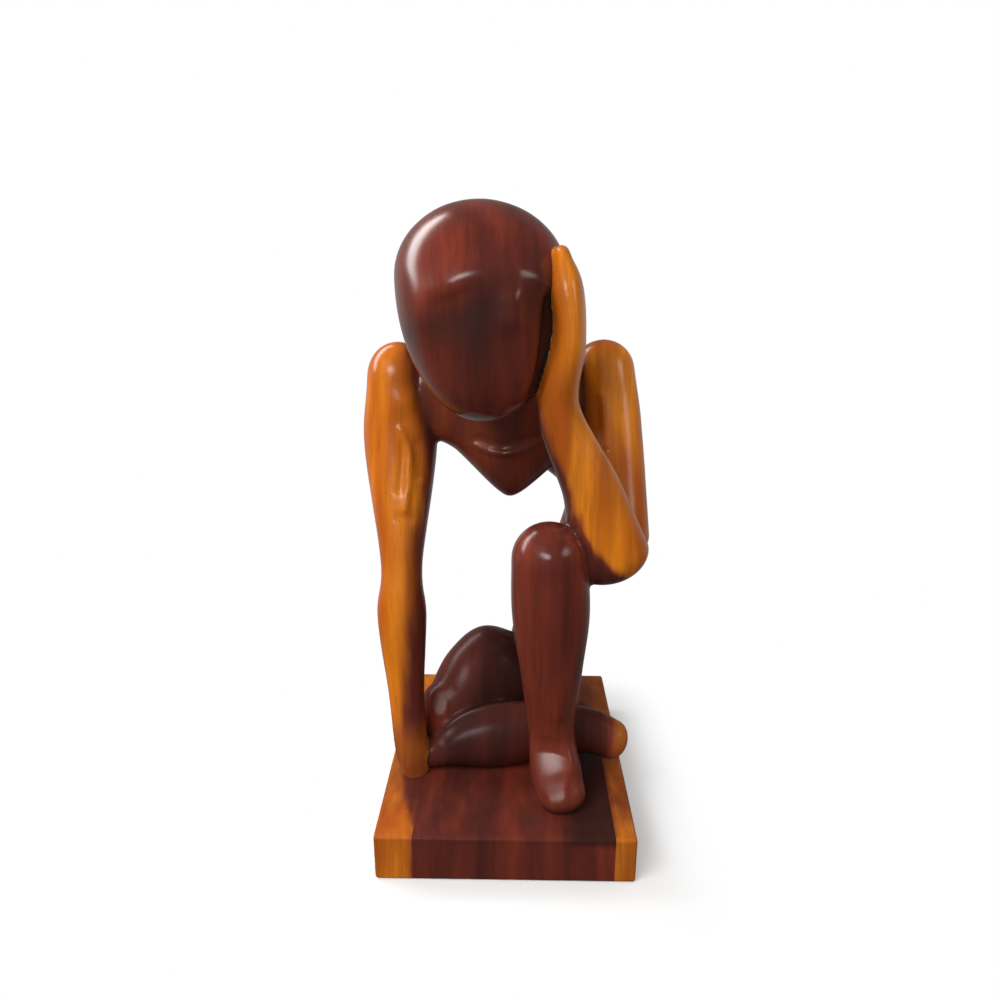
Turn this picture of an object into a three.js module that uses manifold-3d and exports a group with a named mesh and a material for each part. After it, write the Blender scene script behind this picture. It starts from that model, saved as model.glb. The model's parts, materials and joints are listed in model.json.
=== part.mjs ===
// Seated figure in two-tone carved hardwood: an egg-headed man with one knee raised and one leg
// folded flat, propped on a straight arm, the head resting on the other hand. Dark heartwood makes
// the head, body and legs, pale sapwood the arms and the edges of the block base. The members are
// scribed to each other, glued, and pinned by hidden dowels.
// Millimetres, +Z up, the figure facing -Y. The origin is the middle of the base's underside.
// Left and right are the figure's own, so its right arm is on the -X side.
import * as THREE from "three";
import { mergeVertices } from "three/addons/utils/BufferGeometryUtils.js";
import Module from "manifold-3d";

const wasm = await Module();
wasm.setup();

// Base: a block glued up from a dark middle board and a pale board at each side
const BASE_WIDTH = 122;
const BASE_DEPTH = 148;
const BASE_THICKNESS = 24;
const RIGHT_BOARD_WIDTH = 18;
const LEFT_BOARD_WIDTH = 10;
const BASE_EDGE_ROUND = 1.6;
const BASE_CORNER_ROUND = 0.8;

// Joinery: the space that glue fills, and the dowels and pegs that pin the members
const GLUE_GAP = 0.3;
const BORE_CLEARANCE = 0.25;
const DOWEL_CHAMFER = 0.8;
const STOUT_DOWEL = { diameter: 9, length: 26 };
const LIMB_DOWEL = { diameter: 7, length: 22 };
const SLIM_DOWEL = { diameter: 6, length: 16 };
const BASE_PEG = { diameter: 6, length: 22 };

// Landmarks and girths of the figure. A landmark's z is its height above the base, and a landmark of
// the head, arms and chest has its rise from the shoulders instead, so they go with them.
// A width is measured across the figure and a depth from its front to its back, unless a limb lies
// flat, where the width runs front to back and the depth is its height.

const SHOULDER_HEIGHT = 200;

// Head: an egg with its broad end up, and a brow that breaks over two shallow cheek hollows. What
// follows the head's width and depth is a share of its height, or of its half width.
const CHIN = { x: -9.5, y: -41, rise: -12.5 };
const CROWN_SHIFT = { x: -2.5, y: 20 };
const HEAD_HEIGHT = 91;
const HEAD_WIDTH = 73.5;
const HEAD_DEPTH = 75;
const HEAD_WIDEST = 0.65;
const FACE_TURN = 0.22;
const BROW_AT = 0.71;
const BROW_DROP = 0.17;
const BROW_SOFTNESS = 0.1;
const HOLLOW_DEPTH = 2.2;
const HOLLOW_REACH = 0.42;
const NOSE_RIDGE = 0.1;
const NOSE_FLARE = 0.22;
const CHEEK_EDGE = 0.92;
const CHEEK_SOFTNESS = 0.35;

// Right arm: a straight prop from the shoulder to the edge of the base
const RIGHT_SHOULDER = { x: -54, y: 12, rise: 0 };
const RIGHT_UPPER_ARM = { x: -53.6, y: 8, rise: -34 };
const RIGHT_ELBOW = { x: -52.6, y: -10.5, z: 110 };
const RIGHT_FOREARM = { x: -52.8, y: -15, z: 84 };
const RIGHT_WRIST = { x: -51.3, y: -20, z: 42 };
const RIGHT_PALM = { x: -49.5, y: -22.5, z: 14 };
const RIGHT_FINGERS = { x: -47.8, y: -23.5, z: 0 };
const SHOULDER_WIDTH = 31;
const SHOULDER_DEPTH = 30;
const UPPER_ARM_WIDTH = 37;
const UPPER_ARM_DEPTH = 31;
const ELBOW_WIDTH = 21;
const ELBOW_DEPTH = 23;
const FOREARM_WIDTH = 24.8;
const FOREARM_DEPTH = 24;
const WRIST_WIDTH = 18.4;
const WRIST_DEPTH = 17;
const PALM_WIDTH = 17;
const PALM_DEPTH = 21;
const FINGERS_WIDTH = 15;
const FINGERS_DEPTH = 18;

// Left arm: bent tight, the elbow against the knee and the flat hand along the side of the head
const LEFT_SHOULDER = { x: 46.5, y: 12, rise: 3 };
const LEFT_UPPER_ARM = { x: 50.5, y: 3, rise: -24 };
const LEFT_ELBOW_BACK = { x: 51.8, y: -26, z: 130 };
const LEFT_ELBOW = { x: 45.4, y: -39.5, z: 127 };
const LEFT_FOREARM = { x: 37.5, y: -43, z: 157 };
const LEFT_WRIST = { x: 21.8, y: -46, rise: -7 };
const LEFT_PALM = { x: 25.2, y: -46, rise: 21 };
const LEFT_FINGERS = { x: 24.2, y: -46, rise: 42 };
const LEFT_FINGERTIPS = { x: 21.8, y: -45.5, rise: 54.5 };
const BENT_SHOULDER_WIDTH = 31;
const BENT_SHOULDER_DEPTH = 30;
const BENT_UPPER_ARM_WIDTH = 30;
const BENT_UPPER_ARM_DEPTH = 29;
const BENT_ELBOW_WIDTH = 38.5;
const BENT_ELBOW_DEPTH = 30;
const BENT_FOREARM_WIDTH = 26.5;
const BENT_FOREARM_DEPTH = 26;
const BENT_WRIST_WIDTH = 18.8;
const BENT_WRIST_DEPTH = 21;
const PALM_THICKNESS = 14.4;
const PALM_BREADTH = 31;
const FINGERS_THICKNESS = 13.2;
const FINGERS_BREADTH = 28;
const FINGERTIP_THICKNESS = 7.5;
const FINGERTIP_BREADTH = 17;

// Left leg: knee raised in front, the foot flat near the front edge of the base
const LEFT_HIP = { x: 24, y: 27, z: 38 };
const LEFT_THIGH = { x: 22.5, y: -4, z: 88 };
const LEFT_THIGH_END = { x: 20, y: -34, z: 121 };
const LEFT_KNEE = { x: 19, y: -46.5, z: 127 };
const LEFT_CALF = { x: 20.4, y: -44.5, z: 100 };
const LEFT_SHIN = { x: 21.5, y: -39, z: 66 };
const LEFT_ANKLE = { x: 22.4, y: -35.5, z: 33 };
const LEFT_HEEL_TOP = { x: 22.6, y: -34, z: 30 };
const LEFT_HEEL = { x: 23.2, y: -33.5, z: 2 };
const LEFT_INSTEP = { x: 24, y: -43, z: 14.5 };
const LEFT_TOES = { x: 26, y: -51, z: 5.5 };
const HIP_WIDTH = 36;
const HIP_DEPTH = 33;
const THIGH_WIDTH = 35;
const THIGH_DEPTH = 38;
const KNEE_WIDTH = 34;
const KNEE_DEPTH = 33;
const CALF_WIDTH = 36;
const CALF_DEPTH = 34;
const SHIN_WIDTH = 29.5;
const SHIN_DEPTH = 28;
const ANKLE_WIDTH = 23;
const ANKLE_DEPTH = 22;
const HEEL_WIDTH = 22;
const HEEL_TOP_WIDTH = 20;
const INSTEP_WIDTH = 24.5;
const INSTEP_DEPTH = 25;
const TOES_WIDTH = 22;
const TOES_DEPTH = 16;

// Right leg: folded flat, the shin crossing in front of the thigh and the foot at the left edge
const RIGHT_HIP = { x: 8, y: 28, z: 27 };
const RIGHT_THIGH = { x: -10, y: 14.5, z: 31.5 };
const RIGHT_THIGH_END = { x: -26, y: 3, z: 25.5 };
const RIGHT_KNEE = { x: -36, y: -5, z: 17 };
const RIGHT_SHIN_TOP = { x: -37.5, y: -18.5, z: 7.5 };
const RIGHT_CALF_TOP = { x: -25, y: -17, z: 12.3 };
const RIGHT_CALF = { x: -8, y: -15, z: 14.5 };
const RIGHT_SHIN = { x: 18, y: -13.5, z: 17 };
const RIGHT_ANKLE = { x: 42, y: -14.5, z: 18 };
const RIGHT_FOOT = { x: 55.5, y: -16.5, z: 14 };
const FOLDED_HIP_WIDTH = 40;
const FOLDED_HIP_HEIGHT = 50;
const FOLDED_THIGH_WIDTH = 44;
const FOLDED_THIGH_HEIGHT = 62.5;
const FOLDED_THIGH_END_WIDTH = 37;
const FOLDED_THIGH_END_HEIGHT = 58;
const FOLDED_KNEE_WIDTH = 28;
const FOLDED_KNEE_HEIGHT = 44;
const FOLDED_SHIN_TOP_WIDTH = 19;
const FOLDED_SHIN_TOP_HEIGHT = 16;
const FOLDED_CALF_TOP_WIDTH = 24;
const FOLDED_CALF_TOP_HEIGHT = 27;
const FOLDED_CALF_WIDTH = 28;
const FOLDED_CALF_HEIGHT = 35;
const FOLDED_SHIN_WIDTH = 25;
const FOLDED_SHIN_HEIGHT = 32;
const FOLDED_ANKLE_WIDTH = 19;
const FOLDED_ANKLE_HEIGHT = 25;
const FOLDED_FOOT_WIDTH = 20;
const FOLDED_FOOT_HEIGHT = 21;

// Body: a chest that narrows to a keel under the chin, a slim waist bowed to the left behind the
// raised arm, and a seat behind the raised leg
const CHEST_RIGHT_END = { x: -44, y: 12, rise: -9 };
const CHEST_RIGHT = { x: -27, y: 11, rise: -11.8 };
const CHEST_KEEL = { x: 0.5, y: 9, rise: -22.4 };
const CHEST_LEFT = { x: 25, y: 12, rise: -14.8 };
const CHEST_LEFT_END = { x: 44, y: 14, rise: -8 };
const CHEST_END_HEIGHT = 40;
const CHEST_END_DEPTH = 24;
const CHEST_RIGHT_HEIGHT = 47.5;
const CHEST_LEFT_HEIGHT = 56.5;
const CHEST_DEPTH = 32;
const KEEL_HEIGHT = 75.8;
const KEEL_DEPTH = 34;
const CHEST_SUPPLENESS = 0.35;
const NECK_ROOT = { x: -4, y: 7, rise: -1 };
const NECK_TOP = { x: -8, y: -12, rise: 11 };
const NECK_ROOT_WIDTH = 38;
const NECK_TOP_WIDTH = 29;
const SHOULDER_BLADES = { x: 6, y: 19, rise: -8 };
const RIB_CAGE = { x: 27, y: 31, rise: -30 };
const FLANK = { x: 46, y: 44.5, z: 140 };
const WAIST = { x: 42, y: 47, z: 109 };
const LOINS = { x: 30, y: 47, z: 78 };
const SHOULDER_BLADES_WIDTH = 58;
const SHOULDER_BLADES_DEPTH = 34;
const RIB_CAGE_WIDTH = 44;
const RIB_CAGE_DEPTH = 38;
const FLANK_WIDTH = 29;
const FLANK_DEPTH = 36;
const WAIST_WIDTH = 26;
const WAIST_DEPTH = 33;
const LOINS_WIDTH = 32;
const LOINS_DEPTH = 38;
const SEAT_TOP = { x: 23, y: 46, z: 52 };
const SEAT = { x: 21, y: 44, z: 22 };
const SEAT_BOTTOM = { x: 20.5, y: 43, z: 0 };
const SEAT_TOP_WIDTH = 38;
const SEAT_TOP_DEPTH = 44;
const SEAT_WIDTH = 46;
const SEAT_DEPTH = 56;
const SEAT_BOTTOM_WIDTH = 42;
const SEAT_BOTTOM_DEPTH = 51;

// Facets: corners around a carved section, the step between sections, and rings in a rounded end
const SECTION_SIDES = 18;
const SECTION_STEP = 10;
const END_RINGS = 3;
const HEAD_SIDES = 30;
const HEAD_RINGS = 19;
const DOWEL_SIDES = 12;

// Finishes
const wood = (color, roughness) => new THREE.MeshStandardMaterial({ color, roughness, metalness: 0 });
const heartwood = () => wood(0x5a261c, 0.28);
const sapwood = () => wood(0xc87820, 0.28);
const dowelwood = () => wood(0xd8b98a, 0.7);

// Places

const at = (x, y, z) => new THREE.Vector3(x, y, z);
const place = ({ x, y, z, rise = z - SHOULDER_HEIGHT }) => at(x, y, SHOULDER_HEIGHT + rise);
const toward = (from, to) => to.clone().sub(from).normalize();
const between = (from, to, share) => from.clone().lerp(to, share);

// Solids and meshes

function solidFrom(geometry) {
  const bare = geometry.clone();
  bare.deleteAttribute("normal");
  bare.deleteAttribute("uv");
  const merged = mergeVertices(bare, 1e-4);
  return new wasm.Manifold(
    new wasm.Mesh({
      numProp: 3,
      vertProperties: new Float32Array(merged.attributes.position.array),
      triVerts: new Uint32Array(merged.index.array),
    }),
  );
}

function geometryFrom(solid) {
  const { vertProperties, triVerts } = solid.getMesh();
  const geometry = new THREE.BufferGeometry();
  geometry.setAttribute("position", new THREE.BufferAttribute(vertProperties, 3));
  geometry.setIndex(new THREE.BufferAttribute(triVerts, 1));
  geometry.computeVertexNormals();
  return geometry;
}

function named(name, geometry, material) {
  const mesh = new THREE.Mesh(geometry, material);
  mesh.name = name;
  return mesh;
}

// A cut can leave crumbs where two surfaces almost meet: the member is the largest body.
function largestBody(solid) {
  return solid.decompose().reduce((best, body) => (body.volume() > best.volume() ? body : best));
}

// Carved forms

// A closed skin over rings of points, from a point at one end to a point at the other.
function skin(first, rings, last) {
  const sides = rings[0].length;
  const points = [first, ...rings.flat(), last];
  const corner = (ring, side) => 1 + ring * sides + (side % sides);
  const faces = [];
  for (let side = 0; side < sides; side += 1) {
    faces.push(0, corner(0, side + 1), corner(0, side));
    for (let ring = 0; ring + 1 < rings.length; ring += 1) {
      faces.push(corner(ring, side), corner(ring, side + 1), corner(ring + 1, side + 1));
      faces.push(corner(ring, side), corner(ring + 1, side + 1), corner(ring + 1, side));
    }
    const end = rings.length - 1;
    faces.push(points.length - 1, corner(end, side), corner(end, side + 1));
  }
  const geometry = new THREE.BufferGeometry().setFromPoints(points);
  geometry.setIndex(faces);
  return solidFrom(geometry);
}

// An oval ring round a centre, square to the way the limb runs, with its width along `across`.
function oval(centre, along, across, halfWidth, halfDepth, sides) {
  const wideWay = across.clone().addScaledVector(along, -across.dot(along)).normalize();
  const deepWay = along.clone().cross(wideWay);
  return Array.from({ length: sides }, (_, side) => {
    const turn = (2 * Math.PI * side) / sides;
    return centre
      .clone()
      .addScaledVector(wideWay, halfWidth * Math.cos(turn))
      .addScaledVector(deepWay, halfDepth * Math.sin(turn));
  });
}

// A limb lofted through oval sections, each [landmark, width, depth], its two ends rounded over by
// `startRound` and `endRound` times their half girth. A `supple` limb swells and bends smoothly through
// its sections, a stiff one runs straight from each to the next. `gap` fattens it, to cut its own room.
// The sections are square to the limb, unless `slices` gives the one way that they all face.
function limb(sections, { across, slices, startRound = 1, endRound = 1, supple = 0.5, gap = 0 }) {
  const through = (points) => new THREE.CatmullRomCurve3(points, false, "catmullrom", supple);
  const spine = through(sections.map(([landmark]) => place(landmark)));
  const girth = through(sections.map(([, wide, deep]) => at(wide / 2, deep / 2, 0)));
  const spans = sections.length - 1;
  const shares = [0];
  for (let span = 0; span < spans; span += 1) {
    const length = place(sections[span][0]).distanceTo(place(sections[span + 1][0]));
    const steps = Math.max(1, Math.round(length / SECTION_STEP));
    for (let step = 1; step <= steps; step += 1) shares.push((span + step / steps) / spans);
  }
  const facing = (share) => slices ?? spine.getTangent(share);
  const tipAt = (share, slide) => spine.getPoint(share).addScaledVector(facing(share), slide);
  const ringAt = (share, slide, scale) => {
    const half = girth.getPoint(share);
    const [halfWidth, halfDepth] = [(half.x + gap) * scale, (half.y + gap) * scale];
    return oval(tipAt(share, slide), facing(share), across, halfWidth, halfDepth, SECTION_SIDES);
  };
  const capLength = (share, round) => {
    const half = girth.getPoint(share);
    return (round * (half.x + half.y)) / 2 + gap;
  };
  const startCap = capLength(0, startRound);
  const endCap = capLength(1, endRound);
  const quarter = Math.PI / 2 / (END_RINGS + 1);
  const turns = Array.from({ length: END_RINGS }, (_, ring) => (ring + 1) * quarter);
  const rings = [
    ...turns.map((turn) => ringAt(0, -startCap * Math.cos(turn), Math.sin(turn))),
    ...shares.map((share) => ringAt(share, 0, 1)),
    ...turns.reverse().map((turn) => ringAt(1, endCap * Math.cos(turn), Math.sin(turn))),
  ];
  return skin(tipAt(0, -startCap), rings, tipAt(1, endCap));
}

const ACROSS_FIGURE = at(1, 0, 0);
const FRONT_TO_BACK = at(0, 1, 0);
const ALONG_RIGHT_THIGH = toward(place(RIGHT_HIP).setZ(0), place(RIGHT_KNEE).setZ(0));

const smooth = (value) => {
  const share = Math.min(1, Math.max(0, value));
  return share * share * (3 - 2 * share);
};

// How far the face is hollowed at `side`, the share of the head's half width from the nose, and `rise`,
// from chin to crown.
function hollowAt(side, rise) {
  const brow = BROW_AT - BROW_DROP * Math.abs(side);
  const underBrow = smooth((brow - rise) / BROW_SOFTNESS);
  const aboveJaw = smooth((rise - (brow - HOLLOW_REACH)) / HOLLOW_REACH);
  const besideNose = smooth((Math.abs(side) - NOSE_RIDGE) / NOSE_FLARE);
  const insideCheek = smooth((CHEEK_EDGE - Math.abs(side)) / CHEEK_SOFTNESS);
  return HOLLOW_DEPTH * underBrow * aboveJaw * besideNose * insideCheek;
}

function head(gap = 0) {
  const egg = (rise) => {
    const reach = rise < HEAD_WIDEST ? HEAD_WIDEST : 1 - HEAD_WIDEST;
    return Math.sqrt(Math.max(0, 1 - ((rise - HEAD_WIDEST) / reach) ** 2));
  };
  const chin = place(CHIN);
  const crown = chin.clone().add(at(CROWN_SHIFT.x, CROWN_SHIFT.y, HEAD_HEIGHT));
  const rings = [];
  for (let ring = 1; ring < HEAD_RINGS; ring += 1) {
    const rise = (1 - Math.cos((Math.PI * ring) / HEAD_RINGS)) / 2;
    const centre = between(chin, crown, rise);
    const halfWidth = (HEAD_WIDTH / 2) * egg(rise) + gap;
    const halfDepth = (HEAD_DEPTH / 2) * egg(rise) + gap;
    const points = oval(centre, at(0, 0, 1), ACROSS_FIGURE, halfWidth, halfDepth, HEAD_SIDES);
    points
      .filter((point) => point.y < centre.y)
      .forEach((point) => {
        point.y += hollowAt((point.x - centre.x) / halfWidth - FACE_TURN, rise);
      });
    rings.push(points);
  }
  return skin(chin.add(at(0, 0, -gap)), rings, crown.add(at(0, 0, gap)));
}

function rightArm(gap = 0) {
  return limb(
    [
      [RIGHT_SHOULDER, SHOULDER_WIDTH, SHOULDER_DEPTH],
      [RIGHT_UPPER_ARM, UPPER_ARM_WIDTH, UPPER_ARM_DEPTH],
      [RIGHT_ELBOW, ELBOW_WIDTH, ELBOW_DEPTH],
      [RIGHT_FOREARM, FOREARM_WIDTH, FOREARM_DEPTH],
      [RIGHT_WRIST, WRIST_WIDTH, WRIST_DEPTH],
      [RIGHT_PALM, PALM_WIDTH, PALM_DEPTH],
      [RIGHT_FINGERS, FINGERS_WIDTH, FINGERS_DEPTH],
    ],
    { across: ACROSS_FIGURE, startRound: 1.12, gap },
  );
}

function leftUpperArm(gap = 0) {
  return limb(
    [
      [LEFT_SHOULDER, BENT_SHOULDER_WIDTH, BENT_SHOULDER_DEPTH],
      [LEFT_UPPER_ARM, BENT_UPPER_ARM_WIDTH, BENT_UPPER_ARM_DEPTH],
      [LEFT_ELBOW_BACK, BENT_UPPER_ARM_WIDTH, BENT_UPPER_ARM_DEPTH],
    ],
    { across: ACROSS_FIGURE, endRound: 0.7, gap },
  );
}

function leftForearm(gap = 0) {
  return limb(
    [
      [LEFT_ELBOW, BENT_ELBOW_WIDTH, BENT_ELBOW_DEPTH],
      [LEFT_FOREARM, BENT_FOREARM_WIDTH, BENT_FOREARM_DEPTH],
      [LEFT_WRIST, BENT_WRIST_WIDTH, BENT_WRIST_DEPTH],
      [LEFT_PALM, PALM_THICKNESS, PALM_BREADTH],
      [LEFT_FINGERS, FINGERS_THICKNESS, FINGERS_BREADTH],
      [LEFT_FINGERTIPS, FINGERTIP_THICKNESS, FINGERTIP_BREADTH],
    ],
    { across: ACROSS_FIGURE, startRound: 0.82, endRound: 0.8, gap },
  );
}

function leftThigh(gap = 0) {
  return limb(
    [
      [LEFT_HIP, HIP_WIDTH, HIP_DEPTH],
      [LEFT_THIGH, THIGH_WIDTH, THIGH_DEPTH],
      [LEFT_THIGH_END, KNEE_WIDTH, KNEE_DEPTH],
    ],
    { across: ACROSS_FIGURE, startRound: 0.5, endRound: 0.6, gap },
  );
}

function leftShin(gap = 0) {
  const shin = limb(
    [
      [LEFT_KNEE, KNEE_WIDTH, KNEE_DEPTH],
      [LEFT_CALF, CALF_WIDTH, CALF_DEPTH],
      [LEFT_SHIN, SHIN_WIDTH, SHIN_DEPTH],
      [LEFT_ANKLE, ANKLE_WIDTH, ANKLE_DEPTH],
      [LEFT_INSTEP, INSTEP_WIDTH, INSTEP_DEPTH],
      [LEFT_TOES, TOES_WIDTH, TOES_DEPTH],
    ],
    { across: ACROSS_FIGURE, endRound: 0.9, gap },
  );
  const heel = limb(
    [
      [LEFT_HEEL_TOP, HEEL_TOP_WIDTH, HEEL_TOP_WIDTH],
      [LEFT_HEEL, HEEL_WIDTH, HEEL_WIDTH],
    ],
    { across: ACROSS_FIGURE, startRound: 0.5, endRound: 0.5, gap },
  );
  return shin.add(heel);
}

function rightThigh(gap = 0) {
  return limb(
    [
      [RIGHT_HIP, FOLDED_HIP_WIDTH, FOLDED_HIP_HEIGHT],
      [RIGHT_THIGH, FOLDED_THIGH_WIDTH, FOLDED_THIGH_HEIGHT],
      [RIGHT_THIGH_END, FOLDED_THIGH_END_WIDTH, FOLDED_THIGH_END_HEIGHT],
      [RIGHT_KNEE, FOLDED_KNEE_WIDTH, FOLDED_KNEE_HEIGHT],
    ],
    { across: FRONT_TO_BACK, slices: ALONG_RIGHT_THIGH, startRound: 0.4, endRound: 0.6, gap },
  );
}

function rightShin(gap = 0) {
  return limb(
    [
      [RIGHT_SHIN_TOP, FOLDED_SHIN_TOP_WIDTH, FOLDED_SHIN_TOP_HEIGHT],
      [RIGHT_CALF_TOP, FOLDED_CALF_TOP_WIDTH, FOLDED_CALF_TOP_HEIGHT],
      [RIGHT_CALF, FOLDED_CALF_WIDTH, FOLDED_CALF_HEIGHT],
      [RIGHT_SHIN, FOLDED_SHIN_WIDTH, FOLDED_SHIN_HEIGHT],
      [RIGHT_ANKLE, FOLDED_ANKLE_WIDTH, FOLDED_ANKLE_HEIGHT],
      [RIGHT_FOOT, FOLDED_FOOT_WIDTH, FOLDED_FOOT_HEIGHT],
    ],
    { across: FRONT_TO_BACK, startRound: 1.2, endRound: 0.8, gap },
  );
}

function seat(gap = 0) {
  return limb(
    [
      [SEAT_TOP, SEAT_TOP_WIDTH, SEAT_TOP_DEPTH],
      [SEAT, SEAT_WIDTH, SEAT_DEPTH],
      [SEAT_BOTTOM, SEAT_BOTTOM_WIDTH, SEAT_BOTTOM_DEPTH],
    ],
    { across: ACROSS_FIGURE, startRound: 0.4, endRound: 0.4, gap },
  );
}

function torso(gap = 0) {
  const chest = limb(
    [
      [CHEST_RIGHT_END, CHEST_END_DEPTH, CHEST_END_HEIGHT],
      [CHEST_RIGHT, CHEST_DEPTH, CHEST_RIGHT_HEIGHT],
      [CHEST_KEEL, KEEL_DEPTH, KEEL_HEIGHT],
      [CHEST_LEFT, CHEST_DEPTH, CHEST_LEFT_HEIGHT],
      [CHEST_LEFT_END, CHEST_END_DEPTH, CHEST_END_HEIGHT],
    ],
    {
      across: FRONT_TO_BACK,
      slices: ACROSS_FIGURE,
      startRound: 0.4,
      endRound: 0.4,
      supple: CHEST_SUPPLENESS,
      gap,
    },
  );
  const neck = limb(
    [
      [NECK_ROOT, NECK_ROOT_WIDTH, NECK_ROOT_WIDTH],
      [NECK_TOP, NECK_TOP_WIDTH, NECK_TOP_WIDTH],
    ],
    { across: ACROSS_FIGURE, startRound: 0.5, endRound: 0.5, gap },
  );
  const waist = limb(
    [
      [SHOULDER_BLADES, SHOULDER_BLADES_WIDTH, SHOULDER_BLADES_DEPTH],
      [RIB_CAGE, RIB_CAGE_WIDTH, RIB_CAGE_DEPTH],
      [FLANK, FLANK_WIDTH, FLANK_DEPTH],
      [WAIST, WAIST_WIDTH, WAIST_DEPTH],
      [LOINS, LOINS_WIDTH, LOINS_DEPTH],
      [SEAT_TOP, SEAT_TOP_WIDTH, SEAT_TOP_DEPTH],
    ],
    { across: ACROSS_FIGURE, startRound: 0.5, endRound: 0.2, gap },
  );
  return chest.add(neck).add(waist);
}

// Members in the order they are fitted: each is scribed to all that come before it.
const MEMBERS = [
  ["head", head, heartwood],
  ["right_arm", rightArm, sapwood],
  ["left_shin", leftShin, heartwood],
  ["left_forearm", leftForearm, sapwood],
  ["right_shin", rightShin, heartwood],
  ["right_thigh", rightThigh, heartwood],
  ["left_thigh", leftThigh, heartwood],
  ["left_upper_arm", leftUpperArm, sapwood],
  ["pelvis", seat, heartwood],
  ["torso", torso, heartwood],
];

// Dowels, each at the middle of its joint and along the way it is driven
const pinned = (name, size, from, to, share) => [
  name,
  size,
  between(place(from), place(to), share),
  toward(place(from), place(to)),
];
const DOWELS = [
  pinned("neck_dowel", STOUT_DOWEL, NECK_ROOT, NECK_TOP, 0.6),
  pinned("waist_dowel", STOUT_DOWEL, LOINS, SEAT_TOP, 0.65),
  pinned("right_shoulder_dowel", LIMB_DOWEL, CHEST_RIGHT_END, CHEST_RIGHT, 0.4),
  pinned("left_shoulder_dowel", LIMB_DOWEL, CHEST_LEFT, CHEST_LEFT_END, 0.65),
  pinned("right_hip_dowel", SLIM_DOWEL, RIGHT_HIP, SEAT, 0.4),
  pinned("left_hip_dowel", SLIM_DOWEL, LEFT_THIGH, LEFT_HIP, 1.15),
  pinned("left_knee_dowel", LIMB_DOWEL, LEFT_THIGH, LEFT_KNEE, 0.6),
  pinned("right_knee_dowel", SLIM_DOWEL, RIGHT_KNEE, RIGHT_CALF_TOP, 0.35),
  pinned("left_elbow_dowel", SLIM_DOWEL, LEFT_ELBOW_BACK, LEFT_ELBOW, 0.05),
];
const onBase = (name, landmark) => [name, place(landmark).setZ(0)];
const PEGS = [
  onBase("right_hand_peg", RIGHT_FINGERS),
  onBase("left_foot_peg", LEFT_HEEL),
  onBase("right_shin_peg", RIGHT_CALF),
  onBase("pelvis_peg", SEAT_BOTTOM),
];

// A turned pin with a chamfer at each end, along +Y about its middle.
function pinGeometry(diameter, length) {
  const profile = [
    [0, -length / 2],
    [diameter / 2 - DOWEL_CHAMFER, -length / 2],
    [diameter / 2, -length / 2 + DOWEL_CHAMFER],
    [diameter / 2, length / 2 - DOWEL_CHAMFER],
    [diameter / 2 - DOWEL_CHAMFER, length / 2],
    [0, length / 2],
  ];
  return new THREE.LatheGeometry(profile.map(([x, y]) => new THREE.Vector2(x, y)), DOWEL_SIDES);
}

function placed(object, centre, way) {
  object.position.copy(centre);
  object.quaternion.setFromUnitVectors(at(0, 1, 0), way);
  return object;
}

// The hole for a pin, a little wider and longer than the pin.
function bore({ diameter, length }, centre, way) {
  const hole = new THREE.CylinderGeometry(
    diameter / 2 + BORE_CLEARANCE,
    diameter / 2 + BORE_CLEARANCE,
    length + 2 * BORE_CLEARANCE,
    DOWEL_SIDES,
  );
  const pose = placed(new THREE.Object3D(), centre, way);
  pose.updateMatrix();
  return solidFrom(hole.applyMatrix4(pose.matrix));
}

const UPWARD = at(0, 0, 1);
const figureBores = [
  ...DOWELS.map(([, size, centre, way]) => bore(size, centre, way)),
  ...PEGS.map(([, centre]) => bore(BASE_PEG, centre, UPWARD)),
];

// The figure stands on the base: its group's own origin is the middle of the base's top.
function figure() {
  const group = new THREE.Group();
  group.position.z = BASE_THICKNESS;
  const room = [];
  for (const [name, form, finish] of MEMBERS) {
    let solid = form().trimByPlane([0, 0, 1], GLUE_GAP);
    for (const taken of room) solid = solid.subtract(taken);
    for (const hole of figureBores) solid = solid.subtract(hole);
    room.push(form(GLUE_GAP));
    group.add(named(name, geometryFrom(largestBody(solid)), finish()));
  }
  for (const [name, size, centre, way] of DOWELS) {
    group.add(placed(named(name, pinGeometry(size.diameter, size.length), dowelwood()), centre, way));
  }
  for (const [name, centre] of PEGS) {
    const peg = named(name, pinGeometry(BASE_PEG.diameter, BASE_PEG.length), dowelwood());
    group.add(placed(peg, centre, UPWARD));
  }
  return group;
}

// Base boards

// The whole block, with rounded corners in plan and eased edges above and below.
function baseBlock() {
  const halfWidth = BASE_WIDTH / 2 - BASE_EDGE_ROUND;
  const halfDepth = BASE_DEPTH / 2 - BASE_EDGE_ROUND;
  const plan = new THREE.Shape();
  const corners = [
    [halfWidth, -halfDepth, -Math.PI / 2],
    [halfWidth, halfDepth, 0],
    [-halfWidth, halfDepth, Math.PI / 2],
    [-halfWidth, -halfDepth, Math.PI],
  ];
  for (const [x, y, start] of corners) {
    const centreX = x - Math.sign(x) * BASE_CORNER_ROUND;
    const centreY = y - Math.sign(y) * BASE_CORNER_ROUND;
    plan.absarc(centreX, centreY, BASE_CORNER_ROUND, start, start + Math.PI / 2, false);
  }
  const block = new THREE.ExtrudeGeometry(plan, {
    depth: BASE_THICKNESS - 2 * BASE_EDGE_ROUND,
    bevelThickness: BASE_EDGE_ROUND,
    bevelSize: BASE_EDGE_ROUND,
    bevelSegments: 2,
    curveSegments: 3,
  });
  return solidFrom(block.translate(0, 0, BASE_EDGE_ROUND));
}

// The part of the block between two lengthwise saw lines.
function board(block, from, to) {
  const width = to - from;
  const slab = new THREE.BoxGeometry(width, 2 * BASE_DEPTH, 4 * BASE_THICKNESS);
  return block.intersect(solidFrom(slab.translate(from + width / 2, 0, 0)));
}

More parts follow.
